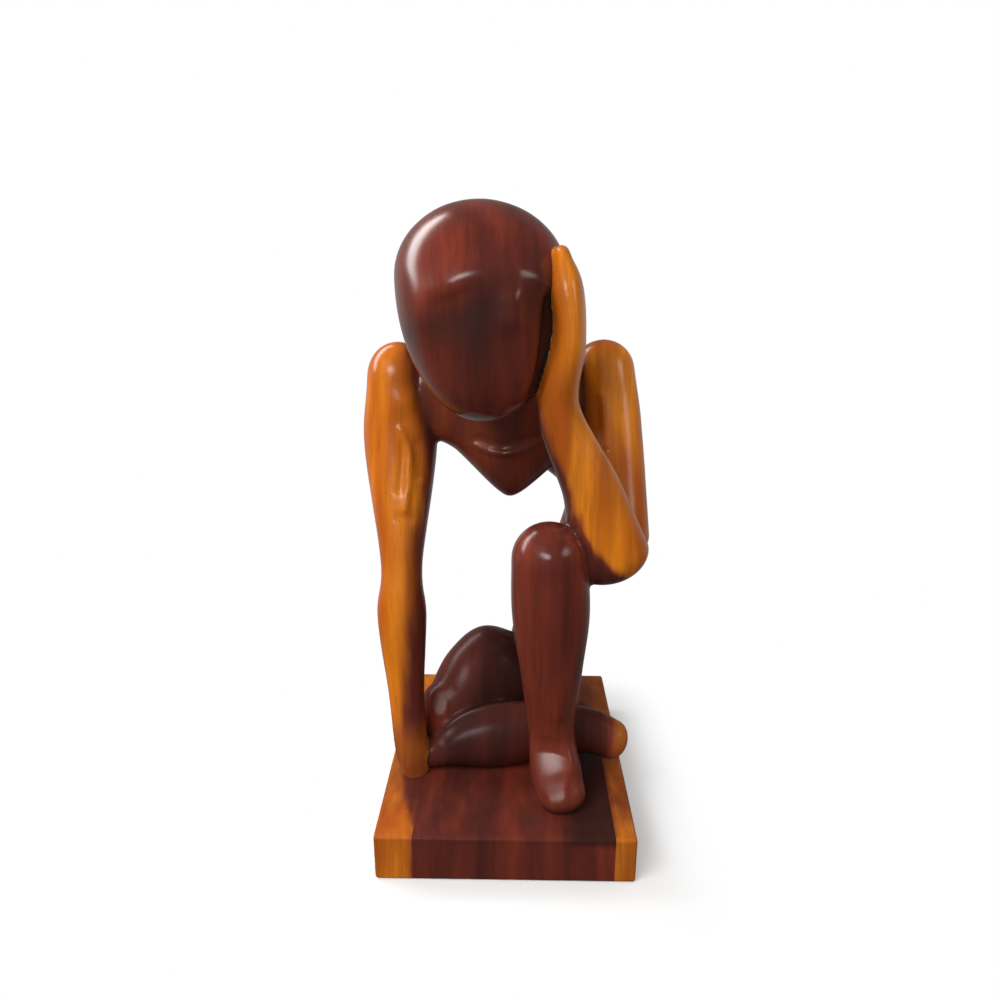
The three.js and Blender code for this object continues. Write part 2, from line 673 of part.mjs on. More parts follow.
function base() {
  const group = new THREE.Group();
  let block = baseBlock();
  for (const [, centre] of PEGS) {
    block = block.subtract(bore(BASE_PEG, centre.clone().setZ(BASE_THICKNESS), UPWARD));
  }
  const rightSeam = -BASE_WIDTH / 2 + RIGHT_BOARD_WIDTH;
  const leftSeam = BASE_WIDTH / 2 - LEFT_BOARD_WIDTH;
  const half = GLUE_GAP / 2;
  const boards = [
    ["base_right_board", -BASE_WIDTH, rightSeam - half, sapwood],
    ["base_middle_board", rightSeam + half, leftSeam - half, heartwood],
    ["base_left_board", leftSeam + half, BASE_WIDTH, sapwood],
  ];
  for (const [name, from, to, finish] of boards) {
    group.add(named(name, geometryFrom(board(block, from, to)), finish()));
  }
  return group;
}

const statue = new THREE.Group();
statue.name = "seated_figure";
statue.add(base(), figure());

export default statue;
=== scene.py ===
import json
import math
from collections import Counter

import bmesh
import bpy
import numpy as np
from bpy.props import FloatProperty, FloatVectorProperty, IntProperty, PointerProperty
from mathutils import Matrix, Vector, noise
from mathutils.bvhtree import BVHTree

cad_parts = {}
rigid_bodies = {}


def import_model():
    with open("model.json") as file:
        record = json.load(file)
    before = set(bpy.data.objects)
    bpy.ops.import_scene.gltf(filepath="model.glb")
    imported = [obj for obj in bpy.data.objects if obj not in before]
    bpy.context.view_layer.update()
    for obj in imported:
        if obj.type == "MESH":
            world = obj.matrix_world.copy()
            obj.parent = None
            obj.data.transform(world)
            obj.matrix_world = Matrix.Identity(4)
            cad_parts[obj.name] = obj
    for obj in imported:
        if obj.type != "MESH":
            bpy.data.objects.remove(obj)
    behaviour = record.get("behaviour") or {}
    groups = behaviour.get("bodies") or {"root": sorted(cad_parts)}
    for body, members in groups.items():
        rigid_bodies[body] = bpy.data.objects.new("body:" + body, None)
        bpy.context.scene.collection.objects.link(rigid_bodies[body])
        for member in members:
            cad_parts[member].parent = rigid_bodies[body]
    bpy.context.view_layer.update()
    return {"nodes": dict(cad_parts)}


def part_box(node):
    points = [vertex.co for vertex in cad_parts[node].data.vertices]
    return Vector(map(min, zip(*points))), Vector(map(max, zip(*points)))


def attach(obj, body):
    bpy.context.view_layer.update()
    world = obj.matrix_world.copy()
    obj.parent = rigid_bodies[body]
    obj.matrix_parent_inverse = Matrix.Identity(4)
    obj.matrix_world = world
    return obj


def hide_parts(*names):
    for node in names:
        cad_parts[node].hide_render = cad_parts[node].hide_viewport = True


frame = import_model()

bl_info = {
    "name": "Carved seated figure",
    "version": (1, 0, 0),
    "blender": (4, 5, 0),
    "location": "View3D > Sidebar > Carving",
    "description": "Carves a seated figure in two-tone wood around its packed frame",
    "category": "Add Mesh",
}

# Frame: points below are in millimetres, their heights above the top of the base
MM = 0.001
TINY = 1e-6
BODY = "root"
ROUGH = "rough_"
BASE_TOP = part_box("base_middle_board")[1].z
MEMBER_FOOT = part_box("right_arm")[0].z

# Nodes and the wood of each, the boards in order from the figure's right to its left
MEMBERS = {
    "head": "heartwood",
    "torso": "heartwood",
    "pelvis": "heartwood",
    "right_arm": "sapwood",
    "left_upper_arm": "sapwood",
    "left_forearm": "sapwood",
    "left_thigh": "heartwood",
    "left_shin": "heartwood",
    "right_thigh": "heartwood",
    "right_shin": "heartwood",
}
BOARDS = {
    "base_right_board": "sapwood",
    "base_middle_board": "heartwood",
    "base_left_board": "sapwood",
}
PINS = [name for name in frame["nodes"] if name.endswith(("_dowel", "_peg"))]

# Stations of the limbs: x, y, height, width, depth
RIGHT_ARM = (
    (-54, 12, 200, 31, 30),
    (-53.6, 8, 166, 36.6, 31),
    (-52.6, -10.5, 110, 21, 23),
    (-52.8, -15, 84, 24.8, 24),
    (-51.3, -20, 42, 18.4, 17),
    (-49.5, -22.5, 14, 17, 21),
    (-47.8, -23.5, 0, 15, 18),
)
LEFT_UPPER_ARM = (
    (46.5, 12, 203, 31, 30),
    (50.5, 3, 176, 30, 29),
    (51.8, -26, 130, 30, 29),
)
LEFT_FOREARM = (
    (45.4, -39.5, 127, 38.5, 30),
    (37.5, -43, 157, 26.5, 26),
    (21.8, -46, 193, 18.8, 21),
    (25.2, -46, 221, 14.4, 31),
    (24.2, -46, 242, 13.2, 28),
    (21.8, -45.5, 254.5, 7.5, 17),
)
LEFT_THIGH = (
    (24, 27, 38, 36, 33),
    (22.5, -4, 88, 35, 38),
    (20, -34, 121, 34, 33),
)
LEFT_SHIN = (
    (19, -46.5, 127, 34, 33),
    (20.4, -44.5, 100, 36, 34),
    (21.5, -39, 66, 29.5, 28),
    (22.4, -35.5, 33, 23, 22),
    (24.6, -43.2, 14.5, 25.5, 25.5),
    (27.6, -51, 6, 23, 16.5),
)
LEFT_HEEL = (
    (22.6, -34, 30, 20, 20),
    (23.2, -33.5, 2, 22, 22),
)
RIGHT_THIGH = (
    (8, 28, 27, 40, 50),
    (-10, 14.5, 31.5, 44, 62.5),
    (-26, 3, 25.5, 37, 58),
    (-36, -5, 17, 28, 44),
)
RIGHT_SHIN = (
    (-37.5, -18.5, 7.5, 19, 16),
    (-25, -17, 12.3, 24, 27),
    (-8, -15, 14.5, 28, 35),
    (18, -13.5, 17, 25, 32),
    (42, -14.5, 18, 19, 25),
    (55.5, -16.5, 14, 20, 21),
)
CHEST = (
    (-44, 12, 191, 24, 40),
    (-27, 11, 188.2, 32, 47.5),
    (0.5, 9, 177.6, 34, 75.8),
    (25, 12, 185.2, 32, 56.5),
    (44, 14, 192, 24, 40),
)
NECK = (
    (-4, 7, 199, 38, 38),
    (-8, -12, 211, 29, 29),
)
WAIST = (
    (6, 19, 192, 58, 34),
    (27, 31, 170, 44, 38),
    (46, 44.5, 140, 29, 36),
    (42, 47, 109, 26, 33),
    (30, 47, 78, 32, 38),
    (23, 46, 52, 38, 44),
)
SEAT = (
    WAIST[-1],
    (21, 44, 22, 46, 56),
    (20.5, 43, 0, 42, 51),
)

# Ways that a limb or its width can run
ACROSS_FIGURE = Vector((1, 0, 0))
FRONT_TO_BACK = Vector((0, 1, 0))
UPWARD = Vector((0, 0, 1))
ALONG_RIGHT_THIGH = (Vector(RIGHT_THIGH[-1][:2]) - Vector(RIGHT_THIGH[0][:2])).to_3d().normalized()

# Head: chin, the crown's shift from it, and the face's proportions as shares of its height and half width
CHIN = (-9.5, -41, 187.5)
CROWN_SHIFT = (-2.5, 20)
HEAD_WIDEST = 0.65
LEAST_GIRTH = 0.05
FACE_TURN = 0.26
BROW_AT = 0.71
BROW_DROP = 0.17
BROW_SOFTNESS = 0.06
HOLLOW_REACH = 0.55
NOSE_RIDGE = 0.1
NOSE_FLARE = 0.42
CHEEK_EDGE = 0.92
CHEEK_SOFTNESS = 0.35

# Fineness of the rough limbs and the base's edges
LIMB_SIDES = 48
LIMB_STEP = 2.0
LIMB_NEAR = 0.001
END_RINGS = 8
TIP_RING = 0.25
HEAD_SIDES = 120
HEAD_RINGS = 100
EDGE_SEGMENTS = 4

# Knife strokes on the fused figure: half width, how far the stroke raises the wood, or cuts it where that
# is negative, and the points that it passes
STROKES = {
    "right brow": (8, 2.1, [(-21.2, -63.9, 244.1), (-17.3, -64.5, 245.7), (-9.2, -64.6, 248.3)]),
    "left brow": (8, 2.4, [(4.4, -61.2, 247.2), (10.1, -58.2, 245.4), (15.2, -55.4, 242.2)]),
    "nose": (5.2, 2.2, [(1.2, -63.6, 237), (1, -64.2, 232)]),
    "face beside hand": (
        2.5,
        -1.6,
        [(15, -54.1, 238.3), (15.2, -54.3, 226.8), (13.8, -53.6, 213), (11.2, -49.7, 202.3)],
    ),
    "shoulder": (6, 1.3, [(-49.5, -3.6, 189.5)]),
    "biceps": (
        1.8,
        1.1,
        [(-51.2, -5.6, 176.7), (-47.1, -6.9, 164.7), (-47.6, -10.5, 150.6), (-49.4, -14.1, 139.1)],
    ),
    "outer biceps": (2.2, -0.8, [(-50.3, -6.8, 169.6), (-51.3, -9.6, 157.8), (-52.3, -12, 148.5)]),
    "inner biceps": (3.5, -0.9, [(-43.4, -4.4, 169.1), (-42.6, -6.8, 154.7)]),
    "elbow": (2.2, -0.8, [(-51.8, -15.4, 135.9), (-46.6, -14.4, 134.1)]),
    "left arm edge": (2.2, 1.7, [(45, -5.2, 193.7), (46, -9, 182.5), (46.2, -15, 171.8)]),
    "collar": (
        1.6,
        1.3,
        [
            (-15.7, -4.4, 169.2),
            (-9.4, -5.6, 166.5),
            (-2.1, -6.7, 165.3),
            (6, -6.5, 166.8),
            (14.2, -5.2, 170.5),
        ],
    ),
    "above collar": (2, -0.9, [(-14.2, -5.8, 172.9), (-2.1, -7.1, 169.3), (12.2, -5.9, 173.5)]),
    "shin bone": (5, 0.9, [(20.7, -62, 132.3), (25, -58.6, 88.3), (25.6, -48.4, 48.7)]),
    "thumb": (4, 0.8, [(-44, -27, 14), (-41.9, -27.4, 10.8)]),
    "folded shin": (
        2.4,
        0.7,
        [
            (-40.5, -25.8, 11.4),
            (-31.8, -22.2, 20.5),
            (-23.3, -17, 27.3),
            (-8.7, -14.4, 31.8),
            (2.8, -13.6, 32.6),
        ],
    ),
    "under folded shin": (2.6, -0.5, [(-31, -24, 17), (-22, -21, 24), (-8.7, -19.5, 28), (2.8, -19, 28.6)]),
}

# Flat knife cuts: a point on the surface, the way the cut faces, its depth, reach and flatness
FACETS = {
    "folded knee": ((-36.1, -12.6, 33.6), (-0.17, -0.81, 0.56), 0.9, 12, 0.8),
    "instep": ((19.5, -54, 15), (-0.21, -0.81, 0.545), 1.4, 22, 0.8),
    "chin": ((-10.5, -51.6, 190.2), (-0.1, -0.45, -0.89), 1.2, 24, 0.5),
}

# Work on the fused skin: how strokes and cuts run out, the waver's pitch in metres, the sanding, the passes
# and weight of the wide sanding that measures the painted shade in hollows, and the passes that tidy the
# lines where members meet
STROKE_STEPS = 8
STROKE_REACH = 4
CUT_FADE = 3
WAVER_PITCH = 0.014
SAND_FACTOR = 0.5
LAST_SANDING = 2
WIDE_SHADE_PASSES = 80
WIDE_SHADE_WEIGHT = 0.5
EVEN_PASSES = 30
STRAY_SIDES = 3
EASE_PASSES = 12

# Grain of the log: pitch in metres, how much longer it runs along Y and Z, detail, and span of the noise
GRAIN = {
    "Bands": (0.018, (2, 7), 2.0, (0.3, 0.7)),
    "Streaks": (0.0028, (5, 22), 4.0, (0.35, 0.68)),
    "Pores": (0.0007, (3, 26), 2.0, (0.58, 0.72)),
}
GRAIN_ROUGHNESS = 0.55
SOFT_DETAIL = 2.0
WANDER_SCALE = 12.0
WANDER = (0.012, 0.0, 0.0)
EDGE_WAVER = 0.008
EDGE_STRETCH = (2, 5)

# Ranges, here and below: a value's low and high end, and what it becomes at each. A stain, and likewise a
# painted shade, has the range that its share follows, and a colour
HEART_STREAK = ((0, 1, 0.22, 0.0), (0.02, 0.008, 0.008, 1))
SAP_STREAK = ((0, 1, 0.3, 0.0), (0.3, 0.075, 0.01, 1))
# Shares from 1 to 2 go to the darkest heart: dark heartwood, and also painted shade where the marks below
# call for it
DARKEST_HEART_AND_SHADE = ((1, 2, 0.0, 1.0), (0.02, 0.009, 0.008, 1))
PORE_STAIN = ((0, 1, 0.0, 0.2), (0.03, 0.01, 0.006, 1))
# painted shade: darkens the wood in the creases and broad hollows that the carving measures
CREASE_SHADE = ((0.05, 0.8, 0.0, 0.8), (0.012, 0.005, 0.004, 1))
WOOD_ROUGHNESS = (0, 1, 0.42, 0.3)
BUMP_STRENGTH = 0.4
BUMP_DISTANCE = 0.00005
FULL_COAT = 1.0
DOWEL_DARK = (0.45, 0.31, 0.17, 1)
DOWEL_LIGHT = (0.66, 0.49, 0.29, 1)
DOWEL_ROUGHNESS = 0.7

# The wood of each piece: its varnish and its heart share, which is 0 for sapwood, 1 for heartwood and 2 for
# the darkest heart; shares past 1 are partly painted shade, as marked below
WOOD = {
    "head": ("heart_varnish", 1.0),
    "torso": ("heart_varnish", 0.96),
    # painted shade: the pelvis is darkened past heartwood to match the shaded folded leg
    "pelvis": ("heart_varnish", 1.5),
    "left_thigh": ("heart_varnish", 1.0),
    "left_shin": ("heart_varnish", 1.0),
    # painted shade: the folded right leg lies in the shade of the head and arms, so its thigh and shin are
    # darkened past heartwood
    "right_thigh": ("low_varnish", 1.7),
    "right_shin": ("low_varnish", 1.6),
    "right_arm": ("sap_varnish", 0.0),
    "left_upper_arm": ("sap_varnish", 0.0),
    "left_forearm": ("sap_varnish", 0.18),
    "base_right_board": ("low_varnish", 0.2),
    "base_middle_board": ("low_varnish", 1.25),
    "base_left_board": ("low_varnish", 0.42),
}

# Slanting faces in the log past which a piece's heart share changes, each over those before it: a point, a
# direction, the softness and the share past it; the ones marked below paint shade into the wood
LOG_FACES = {
    "head": {
        # painted shade in part: the head darkens below the brow, partly its own dark heart and partly the
        # shade under the brow, less so low on the face and on its left cheek
        "face": ((-10, -60, 240), (0.2, -0.3, -1), 9, 1.66),
        "lower face": ((-10, -60, 219), (0, 0, -1), 14, 1.3),
        "left cheek": ((0, -60, 230), (1, 0, 0), 8, 1.1),
        # painted shadow in the gap between the face and the hand
        "beside hand": ((13.8, -53, 222), (1, 0, -0.1), 2.5, 1.95),
        "above brow": ((0, -40, 249), (0, 0, 1), 5, 1),
    },
    "torso": {
        "shoulder": ((-46, 0, 194.4), (-1, 0, -0.222), 4, 0),
        # painted shade: the foot of the waist darkens into the pelvis
        "foot of waist": ((23, 46, 76), (0, 0, -1), 20, 1.5),
    },
    # painted shade under the toes
    "left_shin": {"shade under toes": ((26, -60, 5), (0, -0.2, -1), 4, 1.7)},
    # painted shade, lifted on the thigh's outside where the light reaches it
    "right_thigh": {"outside": ((-16, 0, 40), (-1, 0, 0.15), 7, 1.2)},
    "right_shin": {"tip of foot": ((54, -16, 14), (1, 0, 0), 5, 0.6)},
    "right_arm": {
        "inner half": ((-46.5, 0, 100), (1, 0, 0.017), 7, 1),
        "above elbow": ((-49.4, 0, 134), (0.25, 0, 1), 9, 0),
        "inner edge": ((-39.5, 0, 160), (1, 0, -0.1), 4, 1),
        "armpit": ((-46, 0, 194.4), (1, 0, 0.222), 4, 1),
        "hand": ((-50, -22, 26), (0.2, 0, -1), 10, 0.62),
    },
    "left_upper_arm": {"inner side": ((37.5, -5, 191), (-1, 0, 0), 3, 1)},
    "left_forearm": {
        "elbow": ((42, -50, 146), (0.5, 0, -1), 12, 0),
        # heartwood, darkened further as painted shade in the gap between the forearm and the knee, here and
        # on the underside
        "inner side": ((31.5, -53, 144.2), (-1, 0, -0.364), 3, 1.5),
        "underside": ((42, -53, 129.5), (-1, 0, -1.03), 3, 1.5),
    },
    "base_right_board": {
        "by hand": ((-52, -50, 0), (0, 1, 0), 14, 0.62),
        "seam": ((-43.5, -74, 0), (1, 0.22, 0), 2.5, 1),
        "back": ((-52, 25, 0), (0, 1, 0), 15, 0.4),
    },
    "base_middle_board": {
        # painted shadow of the foot on the board's top
        "shadow beside foot": ((27, -50, 0), (1, 0.1, 0), 7, 1.75),
        # keeps that painted shadow off the board's front face
        "front": ((0, -74, -4), (0, 0, -1), 3, 1.15),
        "back": ((40, 30, 0), (0.5, 1, 0), 18, 0.75),
    },
    "base_left_board": {
        # painted shadow of the figure on the board's top, behind its front edge
        "top": ((55, -66, 0), (0, 1, 0), 8, 0.68),
        "seam": ((51, -74, 0), (-1, 0.02, 0), 2.5, 1),
        "back": ((55, 10, 0), (0, 1, 0), 20, 0.72),
    },
}

# Stage, in metres and degrees: camera, floor, and the point that the lights face
CAMERA_PLACE = (0.0031, -0.355, 0.27)
CAMERA_PITCH = 73.4
CAMERA_YAW = 1.1
CAMERA_LENS = 26.64
CAMERA_NEAR = 0.01
SENSOR = 36
FLOOR_SIZE = 6
BASE_HALF = (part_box("base_left_board")[1].x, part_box("base_left_board")[1].y, 0)
AIM = Vector((0, 0, 0.15))

# Lights: bearing from straight ahead and elevation of the low and the high end, distance, width
KEY = ((-50, 32), (-50, 54), 1.2, 0.5)
WINDOW = ((-90, 13), (-152, 52), 1.0, 0.22)
LAMP = ((-25, 19), (-25, 38), 1.2, 0.5)
FILL = ((65, 18), (65, 40), 1.2, 0.3)

# Floor and room: the floor's whiteness away from the base, its shine towards the back and what it bounces,
# the room's shine towards the back and upwards, and the bearing and elevation of its bright side
WHITE = (1, 1, 1, 1)
FLOOR_WHITENS = (0.0, 0.045, 0.15, 1.0)
FLOOR_SHINE = (-0.1, 0.4, 0.03, 0.4)
FLOOR_BOUNCE = 0.2
ROOM_BEHIND = (0.0, 0.9, 0.04, 0.5)
ROOM_ABOVE = (0.0, 0.5, 1.0, 0.3)
SKY = (5, 42)
SKY_LEAN = (-0.8, 1.0)
SKY_DARKEST = 0.12


def tone(code):
    """The linear colour of a hexadecimal sRGB one."""
    parts = [(code >> shift & 255) / 255 for shift in (16, 8, 0)]
    return tuple(p / 12.92 if p <= 0.04045 else ((p + 0.055) / 1.055) ** 2.4 for p in parts)


# Settings


class CarvingShape(bpy.types.PropertyGroup):
    """Sizes of the carving"""

    head_width: FloatProperty(
        name="Head width", description="Width of the egg-shaped head", default=0.0735, unit="LENGTH"
    )
    head_depth: FloatProperty(
        name="Head depth", description="Head from face to nape", default=0.075, unit="LENGTH"
    )
    head_height: FloatProperty(
        name="Head height", description="Head from chin to crown", default=0.091, unit="LENGTH"
    )
    hollow_depth: FloatProperty(
        name="Cheek hollow", description="Depth of the face under the brow", default=0.0019, unit="LENGTH"
    )
    chip: FloatProperty(
        name="Chip size", description="Finest chip that the knife takes", default=0.0009, unit="LENGTH"
    )
    sanding: IntProperty(name="Sanding", description="Passes that soften the creases", default=8, min=0)
    waver: FloatProperty(
        name="Waver", description="Depth of the knife's unevenness", default=0.0002, unit="LENGTH"
    )
    edge_round: FloatProperty(
        name="Base edge", description="Rounding of the base's edges", default=0.0016, unit="LENGTH"
    )


class CarvingFinish(bpy.types.PropertyGroup):
    """Colours of the wood and the varnish over it"""

    heart_dark: FloatVectorProperty(
        name="Dark heartwood", description="Heartwood's dark bands", subtype="COLOR", default=tone(0x54251F)
    )
    heart_red: FloatVectorProperty(
        name="Red heartwood", description="Heartwood's red bands", subtype="COLOR", default=tone(0x7A3222)
    )
    sap_light: FloatVectorProperty(
        name="Light sapwood", description="Sapwood's pale bands", subtype="COLOR", default=tone(0xEE8C18)
    )
    sap_deep: FloatVectorProperty(
        name="Deep sapwood", description="Sapwood's deep bands", subtype="COLOR", default=tone(0xB2540C)
    )
    heart_varnish: FloatProperty(
        name="Varnish on heartwood", description="How soft its shine is", default=0.22, min=0, max=1
    )
    sap_varnish: FloatProperty(
        name="Varnish on sapwood", description="How soft its shine is", default=0.24, min=0, max=1
    )
    low_varnish: FloatProperty(
        name="Varnish near the base", description="How soft its shine is", default=0.32, min=0, max=1
    )
    low_coat: FloatProperty(
        name="Coat near the base", description="How much varnish is left", default=0.5, min=0, max=1
    )


class CarvingStage(bpy.types.PropertyGroup):
    """Light and floor"""

    ambient: FloatProperty(
        name="Room light", description="Soft light from above and in front", default=0.72, min=0
    )
    key_power: FloatProperty(
        name="Key", description="Power of the light that casts the shadows", default=6.5, unit="POWER"
    )
    window_power: FloatProperty(
        name="Window", description="Power of the tall light at the left", default=4.5, unit="POWER"
    )
    lamp_power: FloatProperty(
        name="Lamp", description="Power of the small light in front", default=3.6, unit="POWER"
    )
    fill_power: FloatProperty(
        name="Fill", description="Power of the soft light at the right", default=1.1, unit="POWER"
    )
    floor_colour: FloatVectorProperty(
        name="Floor", description="Colour of the floor", subtype="COLOR", default=(0.9, 0.9, 0.89)
    )


# Rough limbs


def on_base(points):
    """The places in the frame of points in millimetres above the base."""
    return np.array(points, float) * MM + (0, 0, BASE_TOP)


def through(stations, share, supple):
    """The station at a share of the way along a limb, on a smooth curve through its stations."""
    spans = len(stations) - 1
    span = min(int(share * spans), spans - 1)
    t = share * spans - span
    here, there = stations[span], stations[span + 1]
    before = stations[span - 1] if span else 2 * here - there
    after = stations[span + 2] if span + 2 <= spans else 2 * there - here
    leave = supple * (there - before)
    arrive = supple * (after - here)
    return (
        (2 * t**3 - 3 * t**2 + 1) * here
        + (t**3 - 2 * t**2 + t) * leave
        + (3 * t**2 - 2 * t**3) * there
        + (t**3 - t**2) * arrive
    )


def ring_pose(centre, along, across, half_width, half_depth):
    """The matrix that lays a unit circle round a limb."""
    wide = (across - along * across.dot(along)).normalized()
    deep = along.cross(wide)
    pose = Matrix((wide * half_width, deep * half_depth, along)).transposed().to_4x4()
    pose.translation = centre
    return pose


def loft(poses, sides):
    """A closed skin through rings, each a pose of the unit circle."""
    rough = bmesh.new()
    bmesh.ops.create_circle(rough, segments=sides, radius=1, matrix=poses[0])
    edges = list(rough.edges)
    for last, pose in zip(poses, poses[1:]):
        grown = bmesh.ops.extrude_edge_only(rough, edges=edges)["geom"]
        ring = {item for item in grown if isinstance(item, bmesh.types.BMVert)}
        bmesh.ops.transform(rough, matrix=pose @ last.inverted(), verts=list(ring))
        grown_edges = [item for item in grown if isinstance(item, bmesh.types.BMEdge)]
        edges = [edge for edge in grown_edges if ring.issuperset(edge.verts)]
    bmesh.ops.holes_fill(rough, edges=[edge for edge in rough.edges if edge.is_boundary])
    bmesh.ops.recalc_face_normals(rough, faces=rough.faces)
    return rough


def new_object(name, built):
    """A new object at the origin that holds what a bmesh built."""
    mesh = bpy.data.meshes.new(name)
    built.to_mesh(mesh)
    built.free()
    made = bpy.data.objects.new(name, mesh)
    bpy.context.scene.collection.objects.link(made)
    return made


def rough_object(name, built):
    """A rough limb, set on the base and kept for the carving."""
    bmesh.ops.transform(built, matrix=Matrix.Scale(MM, 4), verts=built.verts)
    bmesh.ops.translate(built, vec=(0, 0, BASE_TOP), verts=built.verts)
    rough = new_object(ROUGH + name, built)
    rough.hide_render = True
    return rough


def limb(name, stations, across, ends=(1, 1), supple=0.5, slices=None):
    """Roughs out a limb: ends say how far out it is rounded, and slices which way all its rings face."""
    table = np.array(stations, float)
    spans = len(table) - 1
    shares = [0.0]
    for span in range(spans):
        steps = max(1, round(np.linalg.norm(table[span + 1, :3] - table[span, :3]) / LIMB_STEP))
        shares += [(span + (step + 1) / steps) / spans for step in range(steps)]

    def pose(share, slide, scale):
        centre, girth = np.split(through(table, share, supple), [3])
        near = through(table, max(0, share - LIMB_NEAR), supple)[:3]
        far = through(table, min(1, share + LIMB_NEAR), supple)[:3]
        along = slices or Vector(far - near).normalized()
        half = girth / 2 * scale
        return ring_pose(Vector(centre) + along * slide, along, across, *half)

    def cap(share, roundness, way):
        length = roundness * table[-1 if share else 0, 3:].mean() / 2
        turns = [math.pi / 2 * (ring + TIP_RING) / (END_RINGS + TIP_RING) for ring in range(END_RINGS)]
        return [pose(share, way * length * math.cos(turn), math.sin(turn)) for turn in turns]

    poses = cap(0, ends[0], -1)
    poses += [pose(share, 0, 1) for share in shares]
    poses += reversed(cap(1, ends[1], 1))
    return rough_object(name, loft(poses, LIMB_SIDES))


def smooth(value):
    """A value eased in at 0 and out at 1."""
    share = min(1, max(0, value))
    return share * share * (3 - 2 * share)


def hollow(side, rise):
    """How deep the face is hollowed, as a share of the full depth."""
    brow = BROW_AT - BROW_DROP * abs(side)
    under_brow = smooth((brow - rise) / BROW_SOFTNESS)
    above_jaw = smooth((rise - (brow - HOLLOW_REACH)) / HOLLOW_REACH)
    beside_nose = smooth((abs(side) - NOSE_RIDGE) / NOSE_FLARE)
    inside_cheek = smooth((CHEEK_EDGE - abs(side)) / CHEEK_SOFTNESS)
    return under_brow * above_jaw * beside_nose * inside_cheek


def egg(rise):
    """The head's girth at a share of its height, as a share of its widest."""
    reach = HEAD_WIDEST if rise < HEAD_WIDEST else 1 - HEAD_WIDEST
    return math.sqrt(max(0, 1 - ((rise - HEAD_WIDEST) / reach) ** 2))


def rough_head(shape):
    """Roughs out the egg of the head and hollows its face."""
    chin = Vector(CHIN)
    rise_way = Vector((*CROWN_SHIFT, shape.head_height / MM))
    half_width = shape.head_width / MM / 2
    half_depth = shape.head_depth / MM / 2
    poses = []
    for ring in range(HEAD_RINGS):
        rise = (1 - math.cos(math.pi * (ring + 0.5) / HEAD_RINGS)) / 2
        girth = egg(rise)
        centre = chin + rise_way * rise
        poses.append(ring_pose(centre, UPWARD, ACROSS_FIGURE, half_width * girth, half_depth * girth))
    rough = loft(poses, HEAD_SIDES)
    for vert in rough.verts:
        rise = (vert.co.z - chin.z) / rise_way.z
        centre = chin + rise_way * rise
        if vert.co.y < centre.y:
            side = (vert.co.x - centre.x) / (half_width * max(egg(rise), LEAST_GIRTH)) - FACE_TURN
            vert.co.y += shape.hollow_depth / MM * hollow(side, rise)
    return rough_object("head", rough)


# Carving


def evaluated_mesh(piece):
    """The mesh that an object's modifiers make."""
    graph = bpy.context.evaluated_depsgraph_get()
    return bpy.data.meshes.new_from_object(piece.evaluated_get(graph))


def coordinates(owner, what="vertices", field="co"):
    """The vectors that a mesh or an attribute holds, as rows."""
    items = getattr(owner, what)
    values = np.empty(len(items) * 3, np.float32)
    items.foreach_get(field, values)
    return values.reshape(-1, 3).astype(float)


def sand(piece, passes):
    """Softens a piece's surface."""
    softened = piece.modifiers.new("Sand", "SMOOTH")
    softened.factor = SAND_FACTOR
    softened.iterations = passes
    piece.data = evaluated_mesh(piece)
    piece.modifiers.clear()


def fused_figure(shape):
    """All rough limbs as one skin, sanded, with the touches of the knife and the painted shade of its
    creases and hollows marked.
    """
    joined = bmesh.new()
    for rough in [item for item in bpy.data.objects if item.name.startswith(ROUGH)]:
        joined.from_mesh(rough.data)
        bpy.data.objects.remove(rough)
    block = new_object("block", joined)
    remesh = block.modifiers.new("Fuse", "REMESH")
    remesh.mode = "VOXEL"
    remesh.voxel_size = shape.chip
    block.data = evaluated_mesh(block)
    block.modifiers.clear()
    sawn = coordinates(block.data)
    sand(block, shape.sanding)
    sanded_mesh = block.data
    sanded = coordinates(sanded_mesh)
    normals = coordinates(sanded_mesh, "vertex_normals", "vector")
    # How far the sanding filled each crease, and below how far a wide sanding fills each hollow: painted
    # shade, which in narrow creases also stands for pooled varnish
    filled = ((sanded - sawn) * normals).sum(1) / shape.chip
    sand(block, WIDE_SHADE_PASSES)
    wide = ((coordinates(block.data) - sanded) * normals).sum(1) / shape.chip * WIDE_SHADE_WEIGHT
    block.data = sanded_mesh
    touch(block.data, shape.waver)
    sand(block, LAST_SANDING)
    crease = block.data.attributes.new("crease", "FLOAT", "POINT")
    crease.data.foreach_set("value", np.clip(np.maximum(filled, wide), 0, 1).astype(np.float32))
    return block


def cut_facets(places, normals):
    """Cuts the facets into places, fading out towards their reach and where the surface turns away."""
    for point, facing, depth, reach, flatness in FACETS.values():
        way = np.array(facing) / np.linalg.norm(facing)
        edge = on_base(point)
        over = flatness * np.maximum((places - edge) @ way + depth * MM, 0)
        over *= np.clip(CUT_FADE - CUT_FADE * np.linalg.norm(places - edge, axis=1) / (reach * MM), 0, 1)
        over *= np.clip(CUT_FADE * (normals @ way) - 1, 0, 1)
        places -= over[:, None] * way


